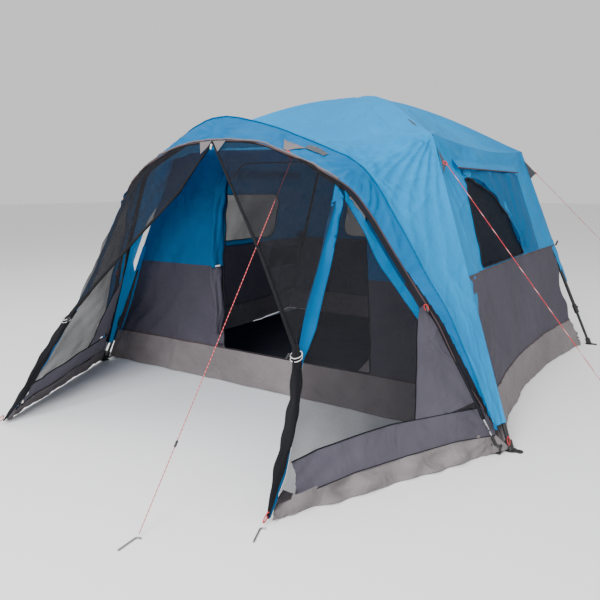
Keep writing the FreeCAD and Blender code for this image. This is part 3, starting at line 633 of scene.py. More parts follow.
ROOF_ROWS, ROOF_COLUMNS = 84, 72
roof_relief = Relief(
    3, 0.004, 0.9, 0.22,
    stars=[(s, 26, 0.013, 0.34) for s in SHOULDERS] + [((0, 0, PEAK), 14, 0.005, 0.25)],
    fade=lambda p, t, u: smooth_step((1 - np.abs(u)) / 0.12) * smooth_step((1.0 - t) / 0.05 + 0.15)
    * smooth_step(t / 0.1),
    pulls=[
        (*box_between((0, 0, 1.72), (1.1 * sx, 1.1 * sy, 2.0)), 70, (sx, 0.9 * sy, -0.2), 0.010)
        for sx, sy in CORNERS.values()
    ],
)
for corner, (sx, sy) in CORNERS.items():
    verts, faces = [], []
    for side, sign in (("front" if sy < 0 else "back", sx), ("right" if sx > 0 else "left", sy)):
        ts, us = np.linspace(0.003, 1.0, ROOF_ROWS), np.linspace(0, sign, ROOF_COLUMNS)
        t, u = np.meshgrid(ts, us, indexing="ij")
        faces += quads(ROOF_ROWS, ROOF_COLUMNS, len(verts))
        verts += list(along(roof_surface(side), t.ravel(), u.ravel(), roof_relief))
    arm = unit((sx, sy, 0))
    quarter = piece_from(
        "roof_cloth_" + corner, verts, faces, BLUE, "arm_" + corner, slot="tent_cloth",
        replaces=["roof_" + corner], squash=((-arm[1], arm[0], 0), (0, 0, PEAK), 0.08),
    )


# ---------------- the cabin's walls
def wall_surface(side):
    out, lateral, d0, dd, w0, dw, pull, _ = (np.array(v) if isinstance(v, tuple) else v for v in SIDES[side])

    def f(a, z):
        q = 1 - z / TOP
        half = w0 + dw * q
        hollow = pull * np.clip(q, 0, 1) ** 2.5 * (1 - (a / half) ** 2)
        depth = d0 + dd * q - hollow - HEM_DRAW * smooth_step((0.95 - z) / 0.5)
        return out * depth[:, None] + lateral * np.asarray(a)[:, None] + np.array((0, 0, 1.0)) * z[:, None]

    return f


def half_width(side, z):
    return SIDES[side][4] + SIDES[side][5] * (1 - z / TOP)


def top_edge(side, a):
    return TOP - EAVE_SAG * (1 - np.abs(a / SIDES[side][4]) ** EAVE_POWER)


def wall_pulls(side):
    """Creases in a wall's two halves, which run down and out towards its feet."""
    out, lateral = (np.array(v, float) for v in SIDES[side][:2])
    return [
        (
            *box_between(out * 1.0, out * 1.75 + lateral * sign * 1.6 + (0, 0, TOP)),
            110, lateral * 0.35 * sign + (0, 0, -1.0), 0.0095,
        )
        for sign in (1, -1)
    ]


WALLS = {side: wall_surface(side) for side in SIDES}
TURN = {"front": 1.0, "right": 1.0, "back": -1.0, "left": -1.0}
WALL_RELIEF = {}
for number, side in enumerate(SIDES):
    ends = [HALVES[side][1], HALVES[side][-1]]
    stars = [(corner_point(c, TOP), 26, 0.013, 0.36) for c in ends]
    stars += [(corner_point(c, 0.05), 30, 0.015, 0.42) for c in ends]
    WALL_RELIEF[side] = Relief(
        20 + number, 0.006, 0.7, 0.13, stars,
        fade=lambda p, a, z, side=side: smooth_step((half_width(side, z) - np.abs(a)) / 0.10)
        * smooth_step((top_edge(side, a) - z) / 0.06 + 0.1),
        pulls=wall_pulls(side),
    )

OPENINGS = {
    "front": rounded([(-0.43, 0.25), (0.79, 0.25), (0.655, 1.46), (0.56, 1.60), (-0.36, 1.60), (-0.50, 1.46)], 0.04),
    "right": rounded(
        [(-0.765, 1.483), (-0.40, 1.44), (-0.177, 1.35), (0.0, 1.20), (0.134, 1.031), (0.20, 0.925), (-0.862, 0.928)],
        0.05,
    ),
    "left": rounded([(-0.50, 1.37), (0.52, 1.37), (0.62, 0.93), (-0.60, 0.93)], 0.12),
    "back": rounded([(-0.70, 1.46), (0.70, 1.46), (0.84, 0.91), (-0.84, 0.91)], 0.14),
}


def wall_squash(side, corner):
    leg = unit(corner_point(corner, 0) - corner_point(corner, TOP))
    lateral = np.array(SIDES[side][1], float)
    return unit(lateral - leg * (leg @ lateral)), corner_point(corner, 0.8), 0.08


def on_wall(side, points, lift):
    points = np.asarray(points, float)
    return along(WALLS[side], points[:, 0], points[:, 1], WALL_RELIEF[side], lift, TURN[side])


def wall_panel(name, side, corner, outline, material, body, spacing, lift=0.0, holes=(), relief=None, **extra):
    return region_piece(
        name, WALLS[side], outline, material, body + corner, holes, spacing, relief or WALL_RELIEF[side], lift,
        TURN[side], squash=wall_squash(side, corner), **extra,
    )


def clipped(outline, index, limit, sign):
    """The part of an outline on one side of a line."""
    made = []
    outline = [np.asarray(q, float) for q in outline]
    for a, b in zip(outline, outline[1:] + outline[:1]):
        da, db = sign * (a[index] - limit), sign * (b[index] - limit)
        if da >= 0:
            made.append(a)
        if (da > 0 > db) or (da < 0 < db):
            made.append(a + (b - a) * da / (da - db))
    return made


def half_ring(opening, sign):
    """The part of an opening's edge on one side of the wall's middle, as one line."""
    ring = divided(list(opening) + [opening[0]], 0.02, False)
    ring = ring[sign * ring[:, 0] >= -0.011]
    breaks = np.where(np.linalg.norm(np.diff(ring, axis=0), axis=1) > 0.06)[0]
    return np.roll(ring, -(breaks[0] + 1), axis=0) if len(breaks) else ring


def set_in(side, z, bend):
    """How far a wall stands off the back right leg, which it does only below its seam."""
    return STAND_OFF * np.interp(z, [SOLE, SKIRT, bend, SIDES[side][7]], [0.6, 1.0, 1.0, 0.0])


def edge_at(side, sign, z):
    """How far across the wall its edge is at a height."""
    off = set_in(side, z, 0.5 * (SIDES[side][7] + SKIRT)) if HALVES[side][sign] == "back_right" else 0.0
    return sign * (half_width(side, z) - off)


def wall_bands(side, sign):
    """The outlines of the three bands of a wall's half."""
    seam = SIDES[side][7]
    top = [(a, float(top_edge(side, a))) for a in sign * np.linspace(SIDES[side][4], 0, 14)]

    def edge(*heights):
        return [(edge_at(side, sign, z), z) for z in heights]

    return {
        "upper": [(0, seam), *edge(seam), *top],
        "lower": [(0, SKIRT), *edge(SKIRT, 0.5 * (seam + SKIRT), seam), (0, seam)],
        "skirt": [(0, SOLE), *edge(SOLE, SKIRT), (0, SKIRT)],
    }


# each band's material, leg, slot, mesh spacing, flat height and the height its flat width is taken at
BANDS = {
    # the upper bands are cut from the painted-shade copy of the blue cloth
    "upper": (WALL_SHADE_BLUE, "upper_leg_", "tent_cloth", 0.018, 0.86, 0.9),
    "lower": (GREY, "lower_leg_", "tent_cloth", 0.020, 0.65, 0.25),
    "skirt": (HEM, "lower_leg_", "floor_cloth", 0.030, 0.25, 0.25),
}
for side in SIDES:
    out, seam = SIDES[side][0], SIDES[side][7]
    for sign, corner in HALVES[side].items():
        squash = wall_squash(side, corner)
        node_name = f"{side}_wall_" + corner.replace(side, "").strip("_")
        for label, outline in wall_bands(side, sign).items():
            material, body, slot, spacing, height, width_at = BANDS[label]
            # the right wall's upper band keeps the plain sky blue; the other upper bands take the painted-shade blue
            made = wall_panel(
                f"{side}_{label}_{corner}", side, corner, outline,
                BLUE if (label, side) == ("upper", "right") else material, body, spacing, slot=slot,
                holes=[OPENINGS[side]] if label != "skirt" else (), replaces=[node_name] if label == "lower" else [],
            )
            # the panel's flat cut: its outline, less the part of the opening that falls in it
            area = area_inside(outline)
            if label != "skirt":
                low_z, high_z = (seam, TOP) if label == "upper" else (SKIRT, seam)
                cut_out = clipped(clipped(OPENINGS[side], 0, 0.0, sign), 1, low_z, 1)
                area -= area_inside(clipped(cut_out, 1, high_z, -1))
            width = round(half_width(side, width_at), 3)
            area = max(0.3 * width * height, min(width * height, area))
        # the tapes along the colour seam and above the skirt
        if side != "front":
            tape = on_wall(side, [(a, seam) for a in np.linspace(0.0, sign * half_width(side, seam), 40)], 0.003)
            ribbon_piece(
                f"seam_tape_{side}_{corner}", tape, 0.012, out, TRIM, "upper_leg_" + corner, squash=squash,
                slot="tent_cloth",
            )
        tape = on_wall(side, [(a, SKIRT) for a in np.linspace(0, edge_at(side, sign, SKIRT), 40)], 0.003)
        ribbon_piece(
            f"skirt_seam_{side}_{corner}", tape, 0.010, out, TRIM, "lower_leg_" + corner, squash=squash,
            slot="floor_cloth",
        )


def corner_cloth(z, v):
    """The cloth that joins the right and back walls where they stand off their leg."""
    ends = []
    for side in ("right", "back"):
        off = set_in(side, z, 0.5 * (SIDES["right"][7] + SKIRT))
        ends.append(on_wall(side, np.stack([half_width(side, z) - off, z], 1), 0.0))
    return ends[0] + (ends[1] - ends[0]) * v[:, None]


for label, z0, z1, material in (("lower", SKIRT, SIDES["right"][7], GREY), ("skirt", SOLE, SKIRT, HEM)):
    grid_piece(
        "corner_" + label, corner_cloth, np.linspace(z0, z1, 40), np.linspace(0, 1, 8), material,
        "lower_leg_back_right", slot="tent_cloth", squash=wall_squash("right", "back_right"),
    )

# window meshes, their bindings, and the rain strips over them
STRIP_REACH = {("right", -1): 0.86, ("right", 1): 0.60}
for side in ("right", "left", "back"):
    for sign, corner in HALVES[side].items():
        on_leg = {"body": "upper_leg_" + corner, "slot": "tent_cloth", "squash": wall_squash(side, corner)}
        wall_panel(
            f"window_mesh_{side}_{corner}", side, corner, clipped(OPENINGS[side], 0, 0.0, sign),
            WINDOW_NET if side == "right" else FAR_WINDOW_NET, "upper_leg_", 0.05, -0.004, slot="mesh_net",
        )
        ring = on_wall(side, half_ring(OPENINGS[side], sign), 0.004)
        tube_piece(f"window_binding_{side}_{corner}", ring, 0.007, DARK_TRIM, sides=8, flat=0.5, **on_leg)

        def strip(a, h, side=side):
            w = WALLS[side](a, 1.60 - 0.055 * h)
            return w + np.array(SIDES[side][0], float) * (0.006 + 0.020 * smooth_step(h))[:, None]

        across = np.linspace(0, sign * STRIP_REACH.get((side, sign), 0.80), 40)
        grid_piece(f"rain_strip_{side}_{corner}", strip, across, np.linspace(0, 1, 7), BLUE, **on_leg)
        tube_piece(f"rain_strip_hem_{side}_{corner}", strip(across, np.ones(40)), 0.0045, TRIM, sides=8, **on_leg)

# the flap that half covers the right window, hanging from the strip
FLAP = [
    (-0.765, 1.50), (-0.40, 1.452), (-0.177, 1.355), (0.0, 1.205), (0.134, 1.036), (0.20, 0.925), (0.62, 0.925),
    (0.60, 1.52), (0.0, 1.53), (-0.765, 1.53),
]
flap_stars = [((1.14, -0.78, 1.5), 16, 0.012, 0.5), ((1.37, 0.2, 0.92), 14, 0.014, 0.35)]
flap_relief = Relief(61, 0.006, 0.5, 0.12, stars=flap_stars)
# the flap is cut from the painted-shade copy of the blue cloth
for sign, corner in HALVES["right"].items():
    wall_panel(
        "window_flap_" + corner, "right", corner, clipped(FLAP, 0, 0.0, sign), WALL_SHADE_BLUE, "upper_leg_", 0.025,
        0.016, relief=flap_relief, slot="tent_cloth",
    )

# ---------------- sleeves over the legs
SLEEVE_WIDTH = ([0.0, 0.3, 0.7, 0.9, 1.0], [0.030, 0.050, 0.085, 0.135, 0.15])
# the parts of the front legs' sleeves and of the back legs', as low end, high end and leg
SLEEVES = {
    -1: (("low", 0.15, 0.78, "lower_leg_"), ("high", 0.74, 0.96, "upper_leg_")),
    1: (("high", 0.58, 0.96, "upper_leg_"),),
}
for corner, (sx, sy) in CORNERS.items():
    for part, z0, z1, body in SLEEVES[sy]:

        def sleeve(z, v, corner=corner, sx=sx, sy=sy):
            taper = 1.0 if sy < 0 else 0.25 + 0.75 * smooth_step((z - 0.58) / 0.36)
            width = np.interp(z, *SLEEVE_WIDTH) * taper
            ridge = np.array([corner_point(corner, h) for h in z]) + unit((sx, sy, 0)) * 0.004
            side_x = WALLS["right" if sx > 0 else "left"](ridge[:, 1] - sy * width, z)
            side_y = WALLS["front" if sy < 0 else "back"](ridge[:, 0] - sx * np.minimum(width, 0.05), z)
            side_x, side_y = side_x + np.array((sx, 0, 0)) * 0.004, side_y + np.array((0, sy, 0)) * 0.004
            target = np.where((v > 0)[:, None], side_x, side_y)
            return ridge + (target - ridge) * (np.abs(v) ** 0.85)[:, None]

        grid_piece(
            f"leg_sleeve_{part}_{corner}", sleeve, np.linspace(z0, z1, 36), np.linspace(-1, 1, 17), BLUE,
            body + corner, Relief(70 + sx + 3 * sy, 0.0025, 0.3, 0.07), slot="tent_cloth",
        )

# ---------------- porch canopy
PORCH = ((0, 1, 0), (0, -1.5, 0), 0.10)
PORCH_CLOTH = {"body": "porch_hoop", "slot": "tent_cloth", "squash": PORCH}
PORCH_NET = {**PORCH_CLOTH, "slot": "mesh_net"}
PORCH_NYLON = {**PORCH_CLOTH, "slot": "black_nylon"}


def red_loop(name, start, end, swell, radius, facing=(0, 1, 0), body="porch_hoop", squash=PORCH):
    """A loop of red webbing, from start round end and back."""
    path = loop_path(start, end, swell, facing)
    tube_piece(name, path, radius, RED, body, 8, slot="guy_cord", squash=squash)


eave_knots = [0.0, 0.36, 0.39, 0.43, 0.47, 0.5]
eave_points = [
    (1.706, -1.376, 0.035), (1.064, -1.076, 1.748), (0.85, -1.088, 1.738), (0.55, -1.09, 1.722), (0.22, -1.09, 1.71),
    (0, -1.09, 1.708),
]
hoop_knots = [0.0, 0.0974, 0.18, 0.218, 0.261, 0.30, 0.327, 0.35, 0.361, 0.381, 0.405, 0.437, 0.469, 0.5]
hoop_points = [
    (1.672, -1.452, 0.04), (1.525, -1.485, 0.42), (1.364, -1.515, 0.774), (1.249, -1.528, 0.940),
    (1.146, -1.543, 1.126), (1.047, -1.557, 1.292), (0.971, -1.566, 1.410), (0.899, -1.574, 1.509),
    (0.862, -1.577, 1.548), (0.736, -1.60, 1.614), (0.591, -1.63, 1.677), (0.39, -1.675, 1.757),
    (0.191, -1.715, 1.822), (0, -1.74, 1.852),
]
visor_knots = [
    0.0, 0.03, 0.059, 0.087, 0.121, 0.16, 0.205, 0.253, 0.296, 0.330, 0.347, 0.366, 0.388, 0.408, 0.444, 0.47, 0.5,
]
visor_points = [
    (1.668, -1.418, 0.045), (1.617, -1.42, 0.139), (1.548, -1.447, 0.255), (1.473, -1.472, 0.376),
    (1.394, -1.495, 0.522), (1.314, -1.515, 0.692), (1.195, -1.557, 0.883), (1.077, -1.615, 1.09),
    (0.975, -1.665, 1.276), (0.893, -1.725, 1.41), (0.827, -1.752, 1.458), (0.733, -1.775, 1.507),
    (0.64, -1.79, 1.566), (0.536, -1.80, 1.598), (0.34, -1.81, 1.673), (0.19, -1.82, 1.692), (0, -1.825, 1.70),
]
EAVE = smooth_line(*mirrored(eave_knots, eave_points), window=5)
HOOP = smooth_line(*mirrored(hoop_knots, hoop_points), window=13)
VISOR = smooth_line(*mirrored(visor_knots, visor_points), window=11)
HOOP_AT = 0.72  # the hoop's place between the eave and the visor's edge
CANOPY_MIDDLE = (0, -1.35, 0.9)
CANOPY_DIP, VISOR_BULGE = 0.075, 0.02  # as shares of the cloth's width there
LEFT_GAP, LEFT_TUCK = 0.055, 0.032


def canopy(s, r):
    e, h, v = EAVE(s), HOOP(s), VISOR(s)
    # the left edge stands off its leg in the middle, which leaves a gap, and is tucked in above and below
    gap = LEFT_GAP * smooth_step((s - 0.72) / 0.05) * smooth_step((0.86 - s) / 0.03)
    e = e - np.outer(gap - LEFT_TUCK * smooth_step((s - 0.65) / 0.03), (1.0, 0.3, 0.0))
    back, front = np.clip(r / HOOP_AT, 0, 1), np.clip((r - HOOP_AT) / (1 - HOOP_AT), 0, 1)
    p = e + (h - e) * back[:, None] + (v - h) * front[:, None]
    away = p - np.array(CANOPY_MIDDLE)
    away /= np.linalg.norm(away, axis=1)[:, None]
    dip = CANOPY_DIP * np.linalg.norm(h - e, axis=1) * np.sin(math.pi * back)
    bulge = VISOR_BULGE * np.linalg.norm(v - h, axis=1) * np.sin(math.pi * front)
    return p + away * (bulge - dip)[:, None]


def canopy_fade(p, s, r):
    edges = smooth_step(r / 0.06) * smooth_step((1 - r) / 0.05 + 0.2) * smooth_step(np.minimum(s, 1 - s) / 0.02)
    return edges * (0.25 + 0.75 * smooth_step(np.abs(r - HOOP_AT) / 0.10))


canopy_stars = []
for sx in (1, -1):
    canopy_stars += [
        ((sx * 1.07, -1.085, 1.748), 34, 0.017, 0.36), ((sx * 0.87, -1.577, 1.545), 22, 0.011, 0.24),
        ((sx * 1.66, -1.42, 0.05), 26, 0.006, 0.45), ((sx * 0.42, -1.72, 1.70), 12, 0.005, 0.2),
    ]
canopy_stars.append(((0, -1.80, 1.76), 14, 0.008, 0.25))
canopy_relief = Relief(
    33, 0.0065, 0.6, 0.11, canopy_stars, fade=canopy_fade,
    pulls=[
        (*box_between((sx * 0.05, -1.9, 0.15), (sx * 1.7, -1.05, 1.85)), 260, (0.5 * sx, -0.25, -0.8), 0.0105)
        for sx in (1, -1)
    ],
)
CANOPY_S = np.linspace(0.024, 0.976, 421)
CANOPY_R = np.concatenate([np.linspace(0, HOOP_AT, 44), np.linspace(HOOP_AT, 1, 20)[1:]])
canopy_cloth = grid_piece(
    "porch_canopy", canopy, CANOPY_S, CANOPY_R, BLUE, relief=canopy_relief, replaces=["porch_roof"], **PORCH_CLOTH
)
# the visor ahead of the hoop takes a darker copy of the blue cloth, as painted shade, with a dark edge strip beside
# each foot
for other in (SHADE_BLUE, DARK_TRIM):
    canopy_cloth.data.materials.append(other)
middles = [0.5 * (steps[1:] + steps[:-1]) for steps in (CANOPY_S, CANOPY_R)]
middle_s, middle_r = np.meshgrid(*middles, indexing="ij")
side_s = np.minimum(middle_s, 1 - middle_s)
zone = np.where(middle_r > HOOP_AT, 1, 0)
zone[middle_r > 1 - 0.17 * smooth_step((0.27 - side_s) / 0.2)] = 2
canopy_cloth.data.polygons.foreach_set("material_index", zone.ravel().astype(np.int32))

# lines on the canopy: name, first and last place and count along it, place across it, lift, radius, look, sides, flat
for name, start, stop, count, r, lift, radius, material, sides, flat in (
    ("visor_piping", 0.024, 0.976, 260, 1.0, 0.0, 0.0042, TRIM, 8, 1.0),
    ("visor_hem", 0.35, 0.65, 120, 0.985, 0.002, 0.007, PATCH, 8, 0.7),
    # the hoop seam is a line of the painted-shade blue along the crease
    ("hoop_seam", 0.06, 0.94, 240, HOOP_AT, 0.003, 0.0032, WALL_SHADE_BLUE, 6, 1.0),
):
    line = along(canopy, np.linspace(start, stop, count), np.full(count, r), canopy_relief, lift)
    tube_piece(name, line, radius, material, sides=sides, flat=flat, **PORCH_CLOTH)


def visor_lining(s, w):
    """The dark strip that hangs behind the visor's edge."""
    edge = VISOR(s)
    tangent = VISOR(s + 0.004) - VISOR(s - 0.004)
    tangent /= np.linalg.norm(tangent, axis=1)[:, None]
    inward = np.array((0, -1.62, 0.55)) - edge
    inward -= tangent * (inward * tangent).sum(1)[:, None]
    inward /= np.linalg.norm(inward, axis=1)[:, None]
    off = np.abs(s - 0.5)
    width = 0.010 + 0.026 * smooth_step((0.40 - off) / 0.1) * smooth_step((off - 0.08) / 0.08)
    return edge + inward * (w * width)[:, None] + np.array((0, 0.006, 0)) * w[:, None]


grid_piece(
    "visor_lining", visor_lining, np.linspace(0.024, 0.976, 200), np.linspace(0, 1, 6), DARK_TRIM, **PORCH_CLOTH
)
# the dark sleeve that the hoop's pole runs in
pole_knots = [0.0, 0.03, 0.34, 0.36, 0.375, 0.45, 0.5]
pole_points = [
    (1.64, -1.44, 0.034), (1.576, -1.451, 0.16), (0.911, -1.561, 1.467), (0.868, -1.566, 1.536), (0.80, -1.579, 1.570),
    (0.27, -1.682, 1.744), (0, -1.71, 1.787),
]
POLE_LINE = smooth_line(*mirrored(pole_knots, pole_points), window=13)
for start, label in ((0.035, "right"), (0.965, "left")):
    tube_piece(
        "hoop_sleeve_" + label, POLE_LINE(np.linspace(start, 0.5, 120)), 0.016, DARK_TRIM, "porch_hoop", flat=0.7,
        slot="tent_cloth",
    )
# the reinforced patches for the guy lines, and the tabs on the hoop's shoulders
TRIANGLE = [(0.404, 0.85), (0.428, 0.83), (0.419, 0.965), (0.415, 0.965)]
SHOULDER_TAB = [(0.384, 0.80), (0.405, 0.79), (0.405, 0.855), (0.384, 0.865)]
for sign, label in ((1, "right"), (-1, "left")):
    patches = (("guy_patch_", TRIANGLE, PATCH, 0.005), ("hoop_tab_", SHOULDER_TAB, TAB, 0.007))
    for name, outline, material, lift in patches:
        region_piece(
            name + label, canopy, [(s if sign > 0 else 1 - s, r) for s, r in outline], material, spacing=0.02,
            relief=canopy_relief, lift=lift, scale=(6.0, 0.6), **PORCH_CLOTH,
        )

# ---------------- porch side screens
SIDE_FOOT = np.array((1.70, -1.37, 0.0))
SIDE_E1 = np.array((-0.4552, -0.8904, 0.0))
SIDE_E2 = np.array((-0.3425, 0.1751, 0.9231))
BAND_1 = (
    [
        (0.771, 1.568), (0.805, 1.491), (0.883, 1.309), (0.983, 1.101), (1.068, 0.954), (1.131, 0.821), (1.165, 0.742),
        (1.202, 0.651), (1.262, 0.496), (1.324, 0.325), (1.385, 0.184), (1.443, 0.09), (1.478, 0.022),
    ],
    [
        (0.735, 1.49), (0.819, 1.29), (0.917, 1.081), (0.984, 0.946), (1.052, 0.812), (1.074, 0.78), (1.154, 0.668),
        (1.204, 0.568), (1.240, 0.459), (1.295, 0.323), (1.360, 0.175), (1.425, 0.075), (1.470, 0.016),
    ],
)
BAND_2 = (
    [(0.733, 1.462), (0.66, 1.295), (0.582, 1.091), (0.495, 0.918), (0.423, 0.787)],
    [(0.717, 1.528), (0.645, 1.385), (0.566, 1.223), (0.492, 1.05), (0.422, 0.911), (0.392, 0.845), (0.405, 0.790)],
)
SEAM = [
    (1.318, 0.224), (1.181, 0.25), (1.012, 0.265), (0.893, 0.275), (0.738, 0.282), (0.581, 0.277), (0.361, 0.270),
    (0.147, 0.26),
]
SKIRT_TOP = [(1.333, 0.074), (1.008, 0.108), (0.674, 0.118), (0.337, 0.120), (0.087, 0.099)]
EDGE = [(0.345, 0.868), (0.285, 0.749), (0.245, 0.566), (0.191, 0.408), (0.147, 0.30)]
NET_SIDE = [(0.581, 0.277), (0.503, 0.521), (0.423, 0.787)]
window_net = BAND_1[1] + [(1.42, 0.065), (1.333, 0.074), (1.312, 0.167), (1.318, 0.224)]
window_net += SEAM[1:6] + NET_SIDE[1:] + BAND_2[0][::-1][1:]
grey_wedge = [(0.423, 0.787), (0.392, 0.845)] + EDGE + SEAM[::-1][1:3] + NET_SIDE[1:2]
grey_band = SEAM + [(0.126, 0.276), (0.07, 0.15), (0.087, 0.099)] + SKIRT_TOP[::-1][1:] + [(1.312, 0.167)]
lower_skirt = [(a, b + 0.012) for a, b in SKIRT_TOP] + [
    (0.05, 0.06), (0.01, 0.012), (0.35, 0.008), (0.80, 0.006), (1.20, 0.006), (1.47, 0.008), (1.43, 0.07),
    (1.385, 0.12),
]
# name, outline, look, slot, mesh spacing, lift, replaced node and flat size
SCREEN_PARTS = (
    ("window_net", window_net, NET, "mesh_net", 0.04, 0.0, ["porch_wall_"], (0.92, 1.27)),
    # the grey wedge and band take a lighter copy of the grey cloth, as painted light
    ("grey_wedge", grey_wedge, LIT_SCREEN_GREY, "tent_cloth", 0.025, 0.001, [], (0.44, 0.58)),
    ("grey_band", grey_band, LIT_SCREEN_GREY, "tent_cloth", 0.022, 0.001, [], (0.19, 1.27)),
    ("skirt", lower_skirt, HEM, "floor_cloth", 0.016, 0.003, [], (0.11, 1.48)),
    # the two blue bands take the darker copies of the blue cloth, as painted shade
    ("band_1", BAND_1[0] + BAND_1[1][::-1], SHADE_BLUE, "tent_cloth", 0.02, 0.004, [], (0.072, 1.72)),
    ("band_2", BAND_2[0] + BAND_2[1][::-1], WALL_SHADE_BLUE, "tent_cloth", 0.02, 0.004, [], (0.062, 0.75)),
)

# the strap's points below the visor's tip, and the rolled door's, on the right and on the left
TIP = (0.0, -1.825, 1.695)
STRAP = {
    1: [(0.351, -2.014, 1.332), (0.593, -2.142, 1.084), (0.935, -2.34, 0.685)],
    -1: [
        (-0.135, -1.977, 1.403), (-0.257, -2.053, 1.256), (-0.388, -2.134, 1.101), (-0.649, -2.305, 0.772),
        (-0.72, -2.36, 0.665),
    ],
}
ROLL = {
    1: [
        (0.93, -2.335, 0.70), (0.961, -2.371, 0.651), (0.975, -2.401, 0.58), (0.998, -2.444, 0.478),
        (1.010, -2.501, 0.358), (1.013, -2.544, 0.28), (1.010, -2.589, 0.203), (1.014, -2.64, 0.109),
        (1.02, -2.69, 0.02),
    ],
    -1: [
        (-0.70, -2.345, 0.69), (-0.74, -2.378, 0.63), (-0.829, -2.488, 0.42), (-0.899, -2.595, 0.214),
        (-0.985, -2.68, 0.045), (-1.01, -2.69, 0.02),
    ],
}
ROLL_RADII = [0.016, 0.024, 0.026, 0.027, 0.028, 0.026, 0.022, 0.014, 0.006]
TIE_RADIUS = 0.029

for sign, label in ((1, "right"), (-1, "left")):

    def screen(a, b, sign=sign):
        p = SIDE_FOOT + np.outer(a, SIDE_E1) + np.outer(b, SIDE_E2)
        hollow = 0.02 * np.sin(math.pi * np.clip(a / 1.4, 0, 1)) * np.sin(math.pi * np.clip(b / 1.3, 0, 1))
        if sign < 0:  # this side is staked slacker, and hangs further in
            hollow = 0.07 * smooth_step(a / 0.9) * np.sin(math.pi * np.clip(b / 1.5, 0, 1))
        p = p - np.outer(hollow, (0.82, -0.42, 0.38))
        return p * np.array((sign, 1, 1))

    corners = [SIDE_FOOT + a * SIDE_E1 + b * SIDE_E2 for a, b in ((0.08, 0.1), (1.45, 0.05), (0.75, 1.5))]
    stars = [(c * np.array((sign, 1, 1)), 20, 0.010, 0.40) for c in corners]
    screen_relief = Relief(40 + sign, 0.004, 0.6, 0.12, stars)
    skirt_relief = Relief(
        44 + sign, 0.020 if sign > 0 else 0.005, 0.26, 0.05, stars, fade=lambda p, a, b: smooth_step((0.13 - b) / 0.08)
    )
    for name, outline, material, slot, spacing, lift, stands_for, cut in SCREEN_PARTS:
        made = region_piece(
            f"porch_{name}_{label}", screen, outline, material, "porch_hoop", (), spacing,
            skirt_relief if name == "skirt" else screen_relief, lift, float(sign), slot=slot,
            replaces=[start + label for start in stands_for], squash=PORCH,
        )
    # bindings along the net's edges
    for name, line in (("net_side", NET_SIDE), ("net_foot", SEAM), ("skirt_seam", SKIRT_TOP)):
        a, b = divided(line, 0.02, False).T
        binding = along(screen, a, b, screen_relief, 0.003, float(sign))
        tube_piece(f"porch_{name}_{label}", binding, 0.005, DARK_TRIM, sides=6, flat=0.6, **PORCH_CLOTH)
    # the front net between the strap and the visor
    strap_line = divided([TIP, *STRAP[sign]], 0.03, False)

    def front_net(s, w, sign=sign, strap_line=strap_line):
        top = VISOR(0.5 - sign * 0.155 * s)
        low = np.stack([np.interp(s, np.linspace(0, 1, len(strap_line)), strap_line[:, i]) for i in range(3)], 1)
        sag = 0.02 * np.sin(math.pi * w) * np.sin(math.pi * s)
        return top + (low - top) * w[:, None] + np.outer(sag, (0, 1, 0.2))

    net = grid_piece(
        "front_net_" + label, front_net, np.linspace(0.0, 1, 50), np.linspace(0, 1, 30), NET,
        relief=Relief(50 + sign, 0.006, 0.4, 0.10), **PORCH_NET,
    )
    strap = strap_line + (0, -0.006, 0)
    tube_piece("door_strap_" + label, strap, [0.007, 0.010, 0.012, 0.015], ROLLED, sides=12, flat=0.7, **PORCH_NET)
    # the net door, rolled up and tied to the edge
    random = np.random.default_rng(90 + sign)
    kinks = random.uniform(0, 6.28, 4)

    def uneven(a, t, kinks=kinks):
        around = 0.16 * math.sin(3 * a + 9 * t + kinks[0]) + 0.10 * math.sin(5 * a - 14 * t + kinks[1])
        return around + 0.10 * math.sin(38 * t + kinks[2])

    tube_piece(
        "rolled_door_" + label, divided(ROLL[sign], 0.012, False), ROLL_RADII, ROLLED, sides=18, flat=0.8,
        wobble=uneven, replaces=["screen_roll_" + label], **PORCH_NET,
    )
    knot = np.array(ROLL[sign][1])
    for rise in (0.0, 0.016):
        ring = [
            knot + (TIE_RADIUS * math.cos(w), -0.004 + TIE_RADIUS * math.sin(w) * 0.9, rise + 0.012 * math.sin(w))
            for w in np.linspace(0, 2 * math.pi, 17)
        ]
        tube_piece(f"roll_tie_{label}_{int(rise * 1000)}", ring, 0.0022, WHITE, sides=6, **PORCH_NET)
    bean_piece(
        "roll_toggle_" + label, knot + np.array((-sign * 0.036, -0.02, 0.008)), (0.6, 0, 1), (1, 0, 0),
        (0.036, 0.013, 0.013), NYLON, **PORCH_NYLON,
    )

    # pale trims under the visor's tip
    def tip_trim(s, w, sign=sign):
        top = VISOR(0.5 - sign * 0.016 * s)
        low = np.array((0, -1.83, 1.69)) + np.outer(s, np.array((sign * 0.062, -0.034, -0.068)))
        return top + (low - top) * w[:, None] + np.array((0, -0.006, 0))

    grid_piece("tip_trim_" + label, tip_trim, np.linspace(0, 1, 10), np.linspace(0, 1, 6), PATCH, **PORCH_CLOTH)
    # red loops at the stake and at the hoop's foot
    stake = np.array((sign * 1.02, -2.70, 0.012))
    red_loop("stake_loop_" + label, stake + (0, 0.02, 0.035), stake + (0, -0.02, 0.004), 0.009, 0.003, (1, 0, 0))
    red_loop(
        "foot_loop_" + label, (sign * 1.69, -1.405, 0.09), (sign * 1.70, -1.41, 0.045), 0.007, 0.0022,
        body="lower_leg_front_" + label, squash=None,
    )
    bean_piece(
        "edge_toggle_" + label, (sign * 1.262, -1.555, 0.775), (-0.5 * sign, 0.3, 1), (1, 0, 0),
        (0.044, 0.022, 0.018), NYLON, **PORCH_NYLON,
    )
    red_loop("edge_toggle_loop_" + label, (sign * 1.25, -1.56, 0.80), (sign * 1.268, -1.56, 0.765), 0.011, 0.003)

